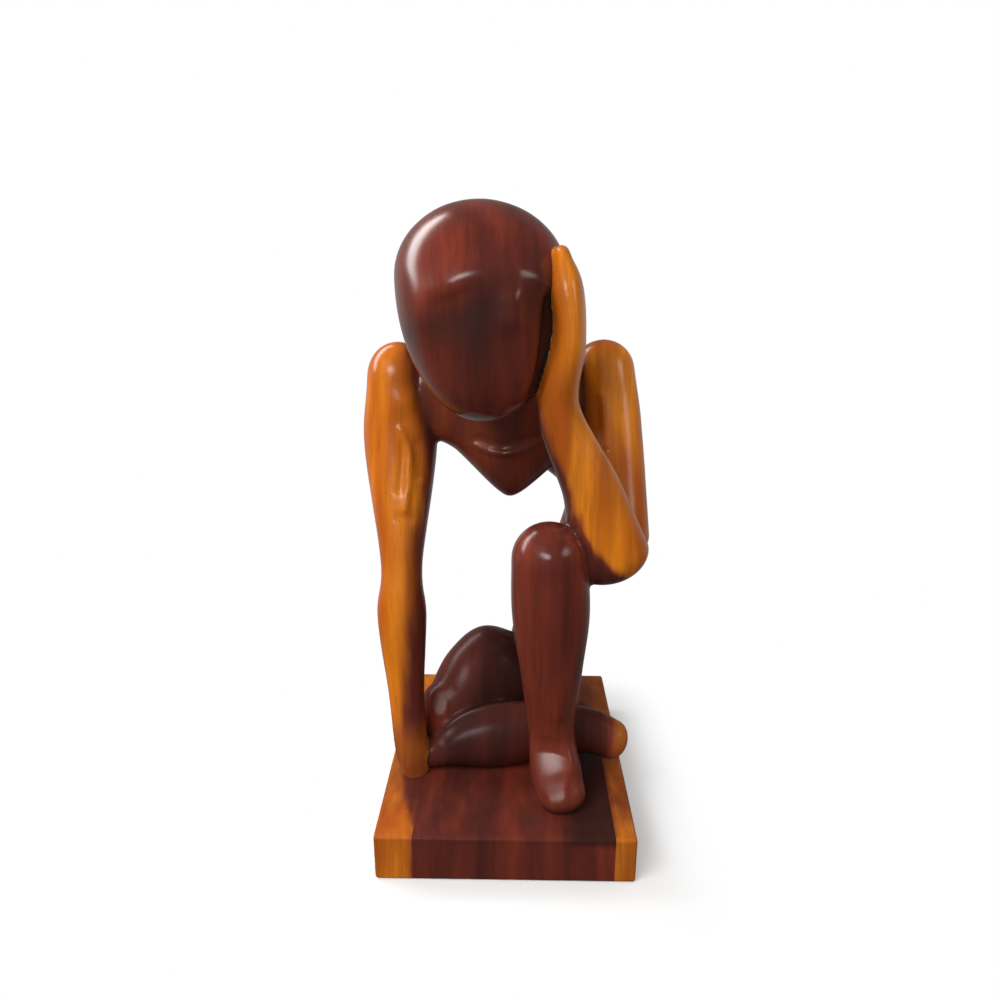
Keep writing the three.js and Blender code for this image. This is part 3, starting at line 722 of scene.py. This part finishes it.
def stroke_lift(places, normals, half_width, height, points):
    """The places near a stroke, which is laid on the surface, and how far it lifts each of them."""
    path = on_base(points)
    spans = list(zip(path, path[1:])) or [(path[0], path[0])]
    path = np.concatenate([np.linspace(start, end, STROKE_STEPS) for start, end in spans])
    reach = STROKE_REACH * half_width * MM
    near = np.flatnonzero(((places > path.min(0) - reach) & (places < path.max(0) + reach)).all(1))
    around, facing = places[near], normals[near]
    nearest = [np.linalg.norm(around - point, axis=1).argmin() for point in path]
    height_off = ((path - around[nearest]) * facing[nearest]).sum(1)
    path = path - height_off[:, None] * facing[nearest]
    away = np.full(len(near), np.inf)
    for start, end in zip(path, path[1:]):
        way = end - start
        share = np.clip((around - start) @ way / max(way @ way, TINY**2), 0, 1)
        away = np.minimum(away, np.linalg.norm(around - start - share[:, None] * way, axis=1))
    return near, height * MM * np.exp(-((away / (half_width * MM)) ** 2))


def touch(mesh, waver):
    """Cuts the facets, raises and cuts the strokes of the knife, and leaves its waver."""
    places = coordinates(mesh)
    normals = coordinates(mesh, "vertex_normals", "vector")
    cut_facets(places, normals)
    lift = np.zeros(len(places))
    for stroke in STROKES.values():
        near, rise = stroke_lift(places, normals, *stroke)
        lift[near] += rise
    uneven = np.array([noise.noise(Vector(place) / WAVER_PITCH) for place in places])
    lift -= waver * (1 + uneven) / 2
    places += normals * lift[:, None]
    mesh.vertices.foreach_set("co", places.astype(np.float32).ravel())
    mesh.update()


def label_faces(figure):
    """Gives each face of the fused figure the number of the member it belongs to."""
    solids = bmesh.new()
    owners = []
    for number, name in enumerate(MEMBERS):
        solids.from_mesh(frame["nodes"][name].data)
        owners += [number] * (len(solids.faces) - len(owners))
    tree = BVHTree.FromBMesh(solids)
    solids.free()
    for face in figure.faces:
        _, _, nearest, _ = tree.find_nearest(face.calc_center_median())
        face.material_index = owners[nearest]


def neighbours(face):
    """The faces that share an edge with a face."""
    return [other for edge in face.edges for other in edge.link_faces if other is not face]


def even_labels(figure):
    """Takes single faces that stick out of their member's edge to the member round them."""
    for _ in range(EVEN_PASSES):
        changed = []
        for face in figure.faces:
            votes = Counter(other.material_index for other in neighbours(face))
            label, count = votes.most_common(1)[0]
            if label != face.material_index and count >= STRAY_SIDES:
                changed.append((face, label))
        for face, label in changed:
            face.material_index = label
        if not changed:
            return


def patch_round(seed, seen):
    """The faces joined to a seed within its member, and how often each other member borders on them."""
    patch, borders, todo = [], Counter(), [seed]
    seen.add(seed)
    while todo:
        face = todo.pop()
        patch.append(face)
        for other in neighbours(face):
            if other.material_index != seed.material_index:
                borders[other.material_index] += 1
            elif other not in seen:
                seen.add(other)
                todo.append(other)
    return patch, borders


def join_islands(figure):
    """Leaves each member one patch: its smaller patches go to the member round them."""
    seen = set()
    patches = {}
    for seed in figure.faces:
        if seed not in seen:
            patches.setdefault(seed.material_index, []).append(patch_round(seed, seen))
    for found in patches.values():
        largest = max(len(patch) for patch, _ in found)
        for patch, borders in found:
            if len(patch) < largest and borders:
                for face in patch:
                    face.material_index = borders.most_common(1)[0][0]


def ease_borders(figure):
    """Straightens the zigzag of the lines where members meet, along the surface."""
    surface = BVHTree.FromBMesh(figure)
    border = [edge for edge in figure.edges if len({face.material_index for face in edge.link_faces}) > 1]
    beside = {}
    for edge in border:
        for vert in edge.verts:
            beside.setdefault(vert, []).append(edge.other_vert(vert))
    line = {vert: ends for vert, ends in beside.items() if len(ends) == 2}
    for _ in range(EASE_PASSES):
        places = {vert: (vert.co + (a.co + b.co) / 2) / 2 for vert, (a, b) in line.items()}
        for vert, place in places.items():
            vert.co = place
    for vert in line:
        vert.co = surface.find_nearest(vert.co)[0]


def close_openings(built):
    """Caps every opening and returns the caps."""
    edges = [edge for edge in built.edges if edge.is_boundary]
    return bmesh.ops.holes_fill(built, edges=edges)["faces"]


def member_piece(figure, number, name):
    """One member of the fused figure as a closed piece, cut flat where it stands on the base."""
    built = figure.copy()
    others = [face for face in built.faces if face.material_index != number]
    bmesh.ops.delete(built, geom=others, context="FACES")
    inner = built.faces.layers.int.new("inner")
    for face in bmesh.ops.poke(built, faces=close_openings(built))["faces"]:
        face[inner] = 1
    everything = [*built.verts, *built.edges, *built.faces]
    bmesh.ops.bisect_plane(
        built, geom=everything, plane_co=(0, 0, MEMBER_FOOT), plane_no=(0, 0, -1), clear_outer=True
    )
    for face in close_openings(built):
        face[inner] = 1
    if any(not edge.is_manifold for edge in built.edges):
        raise RuntimeError(f"{name} isn't closed")
    bmesh.ops.recalc_face_normals(built, faces=built.faces)
    for face in built.faces:
        face.material_index = 0
        face.smooth = True
    return new_object(name + "_carving", built)


def keep_normals(piece):
    """Gives a member the fused figure's normals, so that its light runs on over the seams."""
    mesh = piece.data
    fused = coordinates(mesh.attributes["fused_normal"], "data", "vector")
    inner = mesh.attributes["inner"].data
    normals = []
    for polygon in mesh.polygons:
        capped = inner[polygon.index].value
        for vertex in polygon.vertices:
            normals.append(polygon.normal if capped else Vector(fused[vertex]).normalized())
    mesh.normals_split_custom_set(normals)
    for name in ("fused_normal", "inner"):
        mesh.attributes.remove(mesh.attributes[name])


def carve_members(shape):
    """Divides the fused figure at its creases into members that each stand for their node."""
    block = fused_figure(shape)
    figure = bmesh.new()
    figure.from_mesh(block.data)
    bpy.data.objects.remove(block)
    label_faces(figure)
    even_labels(figure)
    join_islands(figure)
    ease_borders(figure)
    figure.normal_update()
    fused_normal = figure.verts.layers.float_vector.new("fused_normal")
    for vert in figure.verts:
        vert[fused_normal] = vert.normal
    for number, (name, slot) in enumerate(MEMBERS.items()):
        piece = member_piece(figure, number, name)
        keep_normals(piece)
        piece.data.materials.append(wood_material(name))
        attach(piece, BODY)
        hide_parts(name)
    figure.free()


# Shader nodes


def put(tree, kind, inputs=(), **settings):
    """A new node with its settings, and its inputs as values or links."""
    made = tree.nodes.new(kind)
    for name, value in settings.items():
        setattr(made, name, value)
    for socket, value in dict(inputs).items():
        if isinstance(value, bpy.types.NodeSocket):
            tree.links.new(value, made.inputs[socket])
        else:
            made.inputs[socket].default_value = value
    return made


def empty_tree(owner):
    """The emptied node tree of a material or a world."""
    owner.use_nodes = True
    owner.node_tree.nodes.clear()
    return owner.node_tree


def new_group(name, inputs, outputs):
    """An empty node group with named sockets, and the sockets inside it."""
    tree = bpy.data.node_groups.new(name, "ShaderNodeTree")
    for way, sockets in (("INPUT", inputs), ("OUTPUT", outputs)):
        for socket, kind in sockets.items():
            tree.interface.new_socket(socket, in_out=way, socket_type="NodeSocket" + kind)
    return tree, tree.nodes.new("NodeGroupInput").outputs, tree.nodes.new("NodeGroupOutput").inputs


def maths(tree, operation, *values):
    """A number worked out from numbers."""
    return put(tree, "ShaderNodeMath", enumerate(values), operation=operation).outputs[0]


def vector_maths(tree, operation, *values):
    """A vector worked out from vectors, or a number where the operation gives one."""
    made = put(tree, "ShaderNodeVectorMath", enumerate(values), operation=operation)
    return made.outputs["Value" if operation in ("DOT_PRODUCT", "LENGTH") else "Vector"]


def spread(tree, value, low, high, start=0.0, end=1.0):
    """A value drawn smoothly from one range to another."""
    inputs = {"Value": value, "From Min": low, "From Max": high, "To Min": start, "To Max": end}
    return put(tree, "ShaderNodeMapRange", inputs, interpolation_type="SMOOTHSTEP").outputs["Result"]


def mixed(tree, share, first, second):
    """Two numbers mixed."""
    return put(tree, "ShaderNodeMix", {0: share, 2: first, 3: second}, data_type="FLOAT").outputs[0]


def mixed_colours(tree, share, first, second):
    """Two colours mixed."""
    return put(tree, "ShaderNodeMix", {0: share, 6: first, 7: second}, data_type="RGBA").outputs[2]


def stained_and_shaded(tree, wood, source, stain):
    """Wood mixed towards a colour, whose share follows its source: the grain's stains use it, and so does
    the painted shade in creases.
    """
    limits, colour = stain
    return mixed_colours(tree, spread(tree, source, *limits), wood, colour)


# Wood


def noise_along(tree, vector, pitch, stretch, detail):
    """Noise in the log: its pitch along X, and how much longer it runs along Y and Z."""
    scale = (1 / pitch, 1 / pitch / stretch[0], 1 / pitch / stretch[1])
    drawn = put(tree, "ShaderNodeMapping", {"Vector": vector, "Scale": scale}).outputs["Vector"]
    inputs = {"Vector": drawn, "Scale": 1.0, "Detail": detail, "Roughness": GRAIN_ROUGHNESS}
    return put(tree, "ShaderNodeTexNoise", inputs).outputs["Fac"]


def grain_group():
    """The bands, streaks and pores of a log that grew along Z, in layers across X."""
    if "log_grain" in bpy.data.node_groups:
        return bpy.data.node_groups["log_grain"]
    tree, given, out = new_group("log_grain", {"Vector": "Vector"}, dict.fromkeys(GRAIN, "Float"))
    inputs = {"Vector": given["Vector"], "Scale": WANDER_SCALE, "Detail": SOFT_DETAIL}
    wander = put(tree, "ShaderNodeTexNoise", inputs).outputs["Color"]
    shift = vector_maths(tree, "MULTIPLY", vector_maths(tree, "SUBTRACT", wander, (0.5, 0.5, 0.5)), WANDER)
    wavy = vector_maths(tree, "ADD", given["Vector"], shift)
    for layer, (pitch, stretch, detail, limits) in GRAIN.items():
        drawn = noise_along(tree, wavy, pitch, stretch, detail)
        tree.links.new(spread(tree, drawn, *limits), out[layer])
    return tree


def side_group():
    """How far a point lies past a slanting face in the log, with a wavering edge."""
    if "log_side" in bpy.data.node_groups:
        return bpy.data.node_groups["log_side"]
    tree, given, out = new_group(
        "log_side",
        {"Vector": "Vector", "Point": "Vector", "Direction": "Vector", "Softness": "Float"},
        {"Past": "Float"},
    )
    reach = vector_maths(tree, "SUBTRACT", given["Vector"], given["Point"])
    depth = vector_maths(tree, "DOT_PRODUCT", reach, given["Direction"])
    uneven = noise_along(tree, given["Vector"], EDGE_WAVER, EDGE_STRETCH, SOFT_DETAIL)
    waver = maths(tree, "MULTIPLY", maths(tree, "SUBTRACT", uneven, 0.5), EDGE_WAVER)
    start = maths(tree, "MULTIPLY", given["Softness"], -1.0)
    past = spread(tree, maths(tree, "ADD", depth, waver), start, given["Softness"])
    tree.links.new(past, out["Past"])
    return tree


def tones_group(finish):
    """The colour of the log at a point, from its grain and from how much of it is heartwood; shares past
    heartwood are partly painted shade, and creases get painted shade too.
    """
    if "log_tones" in bpy.data.node_groups:
        return bpy.data.node_groups["log_tones"]
    tree, given, out = new_group(
        "log_tones",
        {"Vector": "Vector", "Heart": "Float", "Crease": "Float"},
        {"Color": "Color", "Roughness": "Float", "Height": "Float"},
    )
    grain = put(tree, "ShaderNodeGroup", {"Vector": given["Vector"]}, node_tree=grain_group()).outputs
    heart = mixed_colours(tree, grain["Bands"], (*finish.heart_dark, 1), (*finish.heart_red, 1))
    heart = stained_and_shaded(tree, heart, grain["Streaks"], HEART_STREAK)
    sap = mixed_colours(tree, grain["Bands"], (*finish.sap_deep, 1), (*finish.sap_light, 1))
    sap = stained_and_shaded(tree, sap, grain["Streaks"], SAP_STREAK)
    wood = mixed_colours(tree, given["Heart"], sap, heart)
    # shares past heartwood: darker heart, and painted shade where a mark calls for it
    wood = stained_and_shaded(tree, wood, given["Heart"], DARKEST_HEART_AND_SHADE)
    wood = stained_and_shaded(tree, wood, grain["Pores"], PORE_STAIN)
    # painted shade in creases and hollows
    wood = stained_and_shaded(tree, wood, given["Crease"], CREASE_SHADE)
    tree.links.new(wood, out["Color"])
    tree.links.new(spread(tree, grain["Streaks"], *WOOD_ROUGHNESS), out["Roughness"])
    tree.links.new(maths(tree, "SUBTRACT", grain["Streaks"], grain["Pores"]), out["Height"])
    return tree


def wood_material(node):
    """The varnished wood of a piece."""
    varnish, heart = WOOD[node]
    finish = bpy.context.scene.carving_finish
    material = bpy.data.materials.new(node + "_wood")
    tree = empty_tree(material)
    place = put(tree, "ShaderNodeTexCoord").outputs["Object"]
    # Masks over the piece's heart share, some of which paint shade
    for point, direction, softness, past in LOG_FACES.get(node, {}).values():
        inputs = {
            "Vector": place,
            "Point": Vector(on_base(point)),
            "Direction": Vector(direction).normalized(),
            "Softness": softness * MM,
        }
        side = put(tree, "ShaderNodeGroup", inputs, node_tree=side_group())
        heart = mixed(tree, side.outputs["Past"], heart, past)
    # painted shade in creases and hollows, worked out on the mesh
    crease = put(tree, "ShaderNodeAttribute", attribute_name="crease").outputs["Fac"]
    inputs = {"Vector": place, "Heart": heart, "Crease": crease}
    tones = put(tree, "ShaderNodeGroup", inputs, node_tree=tones_group(finish)).outputs
    inputs = {"Height": tones["Height"], "Strength": BUMP_STRENGTH, "Distance": BUMP_DISTANCE}
    bump = put(tree, "ShaderNodeBump", inputs)
    inputs = {
        "Base Color": tones["Color"],
        "Roughness": tones["Roughness"],
        "Normal": bump.outputs["Normal"],
        "Specular IOR Level": 0.0,
        "Coat Weight": finish.low_coat if varnish == "low_varnish" else FULL_COAT,
        "Coat Roughness": getattr(finish, varnish),
    }
    shader = put(tree, "ShaderNodeBsdfPrincipled", inputs)
    put(tree, "ShaderNodeOutputMaterial", {"Surface": shader.outputs["BSDF"]})
    return material


def dowel_material():
    """Plain turned wood without varnish."""
    material = bpy.data.materials.new("dowel_wood")
    tree = empty_tree(material)
    place = put(tree, "ShaderNodeTexCoord").outputs["Object"]
    grain = put(tree, "ShaderNodeGroup", {"Vector": place}, node_tree=grain_group())
    colour = mixed_colours(tree, grain.outputs["Streaks"], DOWEL_DARK, DOWEL_LIGHT)
    shader = put(tree, "ShaderNodeBsdfPrincipled", {"Base Color": colour, "Roughness": DOWEL_ROUGHNESS})
    put(tree, "ShaderNodeOutputMaterial", {"Surface": shader.outputs["BSDF"]})
    return material


# Base


def base_boards(shape):
    """The three boards of the base, glued edge to edge, with their outer edges rounded."""
    boxes = [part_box(name) for name in BOARDS]
    seams = [(a[1].x + b[0].x) / 2 for a, b in zip(boxes, boxes[1:])]
    sides = [boxes[0][0].x, *seams, boxes[-1][1].x]
    for name, (low, high), left, right in zip(BOARDS, boxes, sides, sides[1:]):
        low.x, high.x = left, right
        built = bmesh.new()
        bmesh.ops.create_cube(built, size=1)
        bmesh.ops.scale(built, vec=high - low, verts=built.verts)
        bmesh.ops.translate(built, vec=(low + high) / 2, verts=built.verts)
        glued = [{vert for vert in built.verts if abs(vert.co.x - seam) < TINY} for seam in seams]
        edges = [edge for edge in built.edges if not any(seam.issuperset(edge.verts) for seam in glued)]
        bmesh.ops.bevel(
            built,
            geom=edges,
            offset=shape.edge_round,
            offset_type="OFFSET",
            segments=EDGE_SEGMENTS,
            profile=0.5,
            affect="EDGES",
            material=-1,
        )
        piece = new_object(name + "_planed", built)
        piece.data.materials.append(wood_material(name))
        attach(piece, BODY)
        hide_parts(name)


# Stage


def way_to(bearing, elevation):
    """The direction of a bearing and an elevation."""
    a, e = math.radians(bearing), math.radians(elevation)
    return Vector((math.sin(a) * math.cos(e), -math.cos(a) * math.cos(e), math.sin(e)))


def area_light(name, spec, power):
    """A flat light that faces the figure, from its low end to its high end."""
    low, high, distance, width = spec
    start, end = (AIM + way_to(*way) * distance for way in (low, high))
    middle = (start + end) / 2
    back = (middle - AIM).normalized()
    across = (end - start).cross(back).normalized()
    light = bpy.data.lights.new(name, "AREA")
    light.shape = "ELLIPSE"
    light.size = width
    light.size_y = (end - start).length
    light.energy = power
    made = bpy.data.objects.new(name, light)
    made.location = middle
    made.rotation_euler = Matrix((across, back.cross(across), back)).transposed().to_euler()
    made.visible_camera = False
    bpy.context.scene.collection.objects.link(made)
    return made


def camera_rays(tree, path):
    """1 for rays from the camera, straight or through what is clear."""
    return maths(tree, "MAXIMUM", path["Is Camera Ray"], path["Is Transmission Ray"])


def floor_material(colour):
    """A pale floor that goes to white away from the figure and keeps its shadow."""
    material = bpy.data.materials.new("floor")
    tree = empty_tree(material)
    path = put(tree, "ShaderNodeLightPath").outputs
    place = put(tree, "ShaderNodeTexCoord").outputs["Object"]
    past = vector_maths(tree, "SUBTRACT", vector_maths(tree, "ABSOLUTE", place), BASE_HALF)
    away = vector_maths(tree, "LENGTH", vector_maths(tree, "MAXIMUM", past, (0, 0, 0)))
    share = mixed(tree, path["Is Glossy Ray"], spread(tree, away, *FLOOR_WHITENS), 1.0)
    seen = maths(tree, "MAXIMUM", camera_rays(tree, path), path["Is Glossy Ray"])
    dim = (*(FLOOR_BOUNCE * part for part in colour), 1)
    bounce = mixed_colours(tree, path["Is Diffuse Ray"], (*colour, 1), dim)
    lit = put(tree, "ShaderNodeBsdfDiffuse", {"Color": bounce})
    depth = put(tree, "ShaderNodeSeparateXYZ", {0: place}).outputs["Y"]
    strength = mixed(tree, path["Is Glossy Ray"], 1.0, spread(tree, depth, *FLOOR_SHINE))
    glow = put(tree, "ShaderNodeEmission", {"Color": WHITE, "Strength": strength})
    white = maths(tree, "MULTIPLY", share, seen)
    both = put(tree, "ShaderNodeMixShader", {0: white, 1: lit.outputs[0], 2: glow.outputs[0]})
    put(tree, "ShaderNodeOutputMaterial", {"Surface": both.outputs[0]})
    return material


def white_room(ambient):
    """A white background, with the room in front of the figure darker in the varnish."""
    world = bpy.data.worlds.new("room")
    tree = empty_tree(world)
    path = put(tree, "ShaderNodeLightPath").outputs
    way = put(tree, "ShaderNodeTexCoord").outputs["Generated"]
    parts = put(tree, "ShaderNodeSeparateXYZ", {0: way}).outputs
    behind = spread(tree, parts["Y"], *ROOM_BEHIND)
    shine = maths(tree, "MULTIPLY", behind, spread(tree, parts["Z"], *ROOM_ABOVE))
    lean = vector_maths(tree, "DOT_PRODUCT", way, way_to(*SKY))
    sky = spread(tree, lean, *SKY_LEAN, SKY_DARKEST * ambient, ambient)
    lit = mixed(tree, path["Is Glossy Ray"], sky, shine)
    strength = mixed(tree, camera_rays(tree, path), lit, 1.0)
    back = put(tree, "ShaderNodeBackground", {"Color": WHITE, "Strength": strength})
    put(tree, "ShaderNodeOutputWorld", {"Surface": back.outputs[0]})
    bpy.context.scene.world = world


def set_stage(stage):
    """Floor, background, lights and camera."""
    scene = bpy.context.scene
    scene.view_settings.view_transform = "Standard"
    built = bmesh.new()
    bmesh.ops.create_grid(built, x_segments=1, y_segments=1, size=FLOOR_SIZE / 2)
    floor = new_object("floor", built)
    floor.data.materials.append(floor_material(stage.floor_colour))
    white_room(stage.ambient)
    area_light("key", KEY, stage.key_power).visible_glossy = False
    area_light("window", WINDOW, stage.window_power)
    area_light("lamp", LAMP, stage.lamp_power)
    area_light("fill", FILL, stage.fill_power)
    camera = bpy.data.objects.new("camera", bpy.data.cameras.new("camera"))
    camera.data.lens = CAMERA_LENS
    camera.data.sensor_width = SENSOR
    camera.data.clip_start = CAMERA_NEAR
    camera.location = CAMERA_PLACE
    camera.rotation_euler = (math.radians(CAMERA_PITCH), 0, math.radians(CAMERA_YAW))
    scene.collection.objects.link(camera)
    scene.camera = camera


# Operators


class CARVING_OT_rough_head(bpy.types.Operator):
    """Rough out the egg-shaped head with its brow and hollow cheeks"""

    bl_idname = "carving.rough_head"
    bl_label = "Rough Out Head"

    def execute(self, context):
        rough_head(context.scene.carving_shape)
        return {"FINISHED"}


class CARVING_OT_rough_body(bpy.types.Operator):
    """Rough out the chest, neck, waist and seat"""

    bl_idname = "carving.rough_body"
    bl_label = "Rough Out Body"

    def execute(self, context):
        limb("chest", CHEST, FRONT_TO_BACK, ends=(0.4, 0.4), supple=0.35, slices=ACROSS_FIGURE)
        limb("neck", NECK, ACROSS_FIGURE, ends=(0.5, 0.5))
        limb("waist", WAIST, ACROSS_FIGURE, ends=(0.5, 0.2))
        limb("seat", SEAT, ACROSS_FIGURE, ends=(0.4, 0.4))
        return {"FINISHED"}


class CARVING_OT_rough_arms(bpy.types.Operator):
    """Rough out the straight right arm and the bent left arm"""

    bl_idname = "carving.rough_arms"
    bl_label = "Rough Out Arms"

    def execute(self, context):
        limb("right_arm", RIGHT_ARM, ACROSS_FIGURE, ends=(1.12, 1))
        limb("left_upper_arm", LEFT_UPPER_ARM, ACROSS_FIGURE, ends=(1, 0.7))
        limb("left_forearm", LEFT_FOREARM, ACROSS_FIGURE, ends=(0.82, 0.8))
        return {"FINISHED"}


class CARVING_OT_rough_legs(bpy.types.Operator):
    """Rough out the raised left leg and the folded right leg"""

    bl_idname = "carving.rough_legs"
    bl_label = "Rough Out Legs"

    def execute(self, context):
        limb("left_thigh", LEFT_THIGH, ACROSS_FIGURE, ends=(0.5, 0.6))
        limb("left_shin", LEFT_SHIN, ACROSS_FIGURE, ends=(1, 0.9))
        limb("left_heel", LEFT_HEEL, ACROSS_FIGURE, ends=(0.5, 0.5))
        limb("right_thigh", RIGHT_THIGH, FRONT_TO_BACK, ends=(0.4, 0.6), slices=ALONG_RIGHT_THIGH)
        limb("right_shin", RIGHT_SHIN, FRONT_TO_BACK, ends=(1.2, 0.8))
        return {"FINISHED"}


class CARVING_OT_members(bpy.types.Operator):
    """Carve the rough limbs to one skin and divide it at its creases into the members"""

    bl_idname = "carving.members"
    bl_label = "Carve Members"

    def execute(self, context):
        carve_members(context.scene.carving_shape)
        return {"FINISHED"}


class CARVING_OT_base(bpy.types.Operator):
    """Plane the three boards of the base"""

    bl_idname = "carving.base"
    bl_label = "Base Boards"

    def execute(self, context):
        base_boards(context.scene.carving_shape)
        return {"FINISHED"}


class CARVING_OT_pins(bpy.types.Operator):
    """Give the hidden dowels and pegs their wood"""

    bl_idname = "carving.pins"
    bl_label = "Dowels and Pegs"

    def execute(self, context):
        wood = dowel_material()
        for name in PINS:
            mesh = frame["nodes"][name].data
            mesh.materials.clear()
            mesh.materials.append(wood)
        return {"FINISHED"}


class CARVING_OT_stage(bpy.types.Operator):
    """Set the floor, the light and the camera"""

    bl_idname = "carving.stage"
    bl_label = "Stage"

    def execute(self, context):
        set_stage(context.scene.carving_stage)
        return {"FINISHED"}


SETTINGS = {
    "carving_shape": CarvingShape,
    "carving_finish": CarvingFinish,
    "carving_stage": CarvingStage,
}
OPERATORS = (
    CARVING_OT_rough_head,
    CARVING_OT_rough_body,
    CARVING_OT_rough_arms,
    CARVING_OT_rough_legs,
    CARVING_OT_members,
    CARVING_OT_base,
    CARVING_OT_pins,
    CARVING_OT_stage,
)


class CARVING_PT_sidebar(bpy.types.Panel):
    """The carving's settings and steps, in order"""

    bl_idname = "CARVING_PT_sidebar"
    bl_label = "Carved Figure"
    bl_space_type = "VIEW_3D"
    bl_region_type = "UI"
    bl_category = "Carving"

    def draw(self, context):
        column = self.layout.column()
        for settings in SETTINGS:
            group = getattr(context.scene, settings)
            for name in group.__annotations__:
                column.prop(group, name)
        for operator in OPERATORS:
            column.operator(operator.bl_idname)


CLASSES = (*SETTINGS.values(), *OPERATORS, CARVING_PT_sidebar)


def register():
    """Makes the settings, the operators and the panel known to Blender."""
    for cls in CLASSES:
        bpy.utils.register_class(cls)
    for name, cls in SETTINGS.items():
        setattr(bpy.types.Scene, name, PointerProperty(type=cls))


def unregister():
    """Takes away what register added."""
    for name in SETTINGS:
        delattr(bpy.types.Scene, name)
    for cls in reversed(CLASSES):
        bpy.utils.unregister_class(cls)


def main():
    """Carves the whole figure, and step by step."""
    register()
    for operator in OPERATORS:
        group, name = operator.bl_idname.split(".")
        getattr(getattr(bpy.ops, group), name)()


if __name__ == "__main__":
    main()
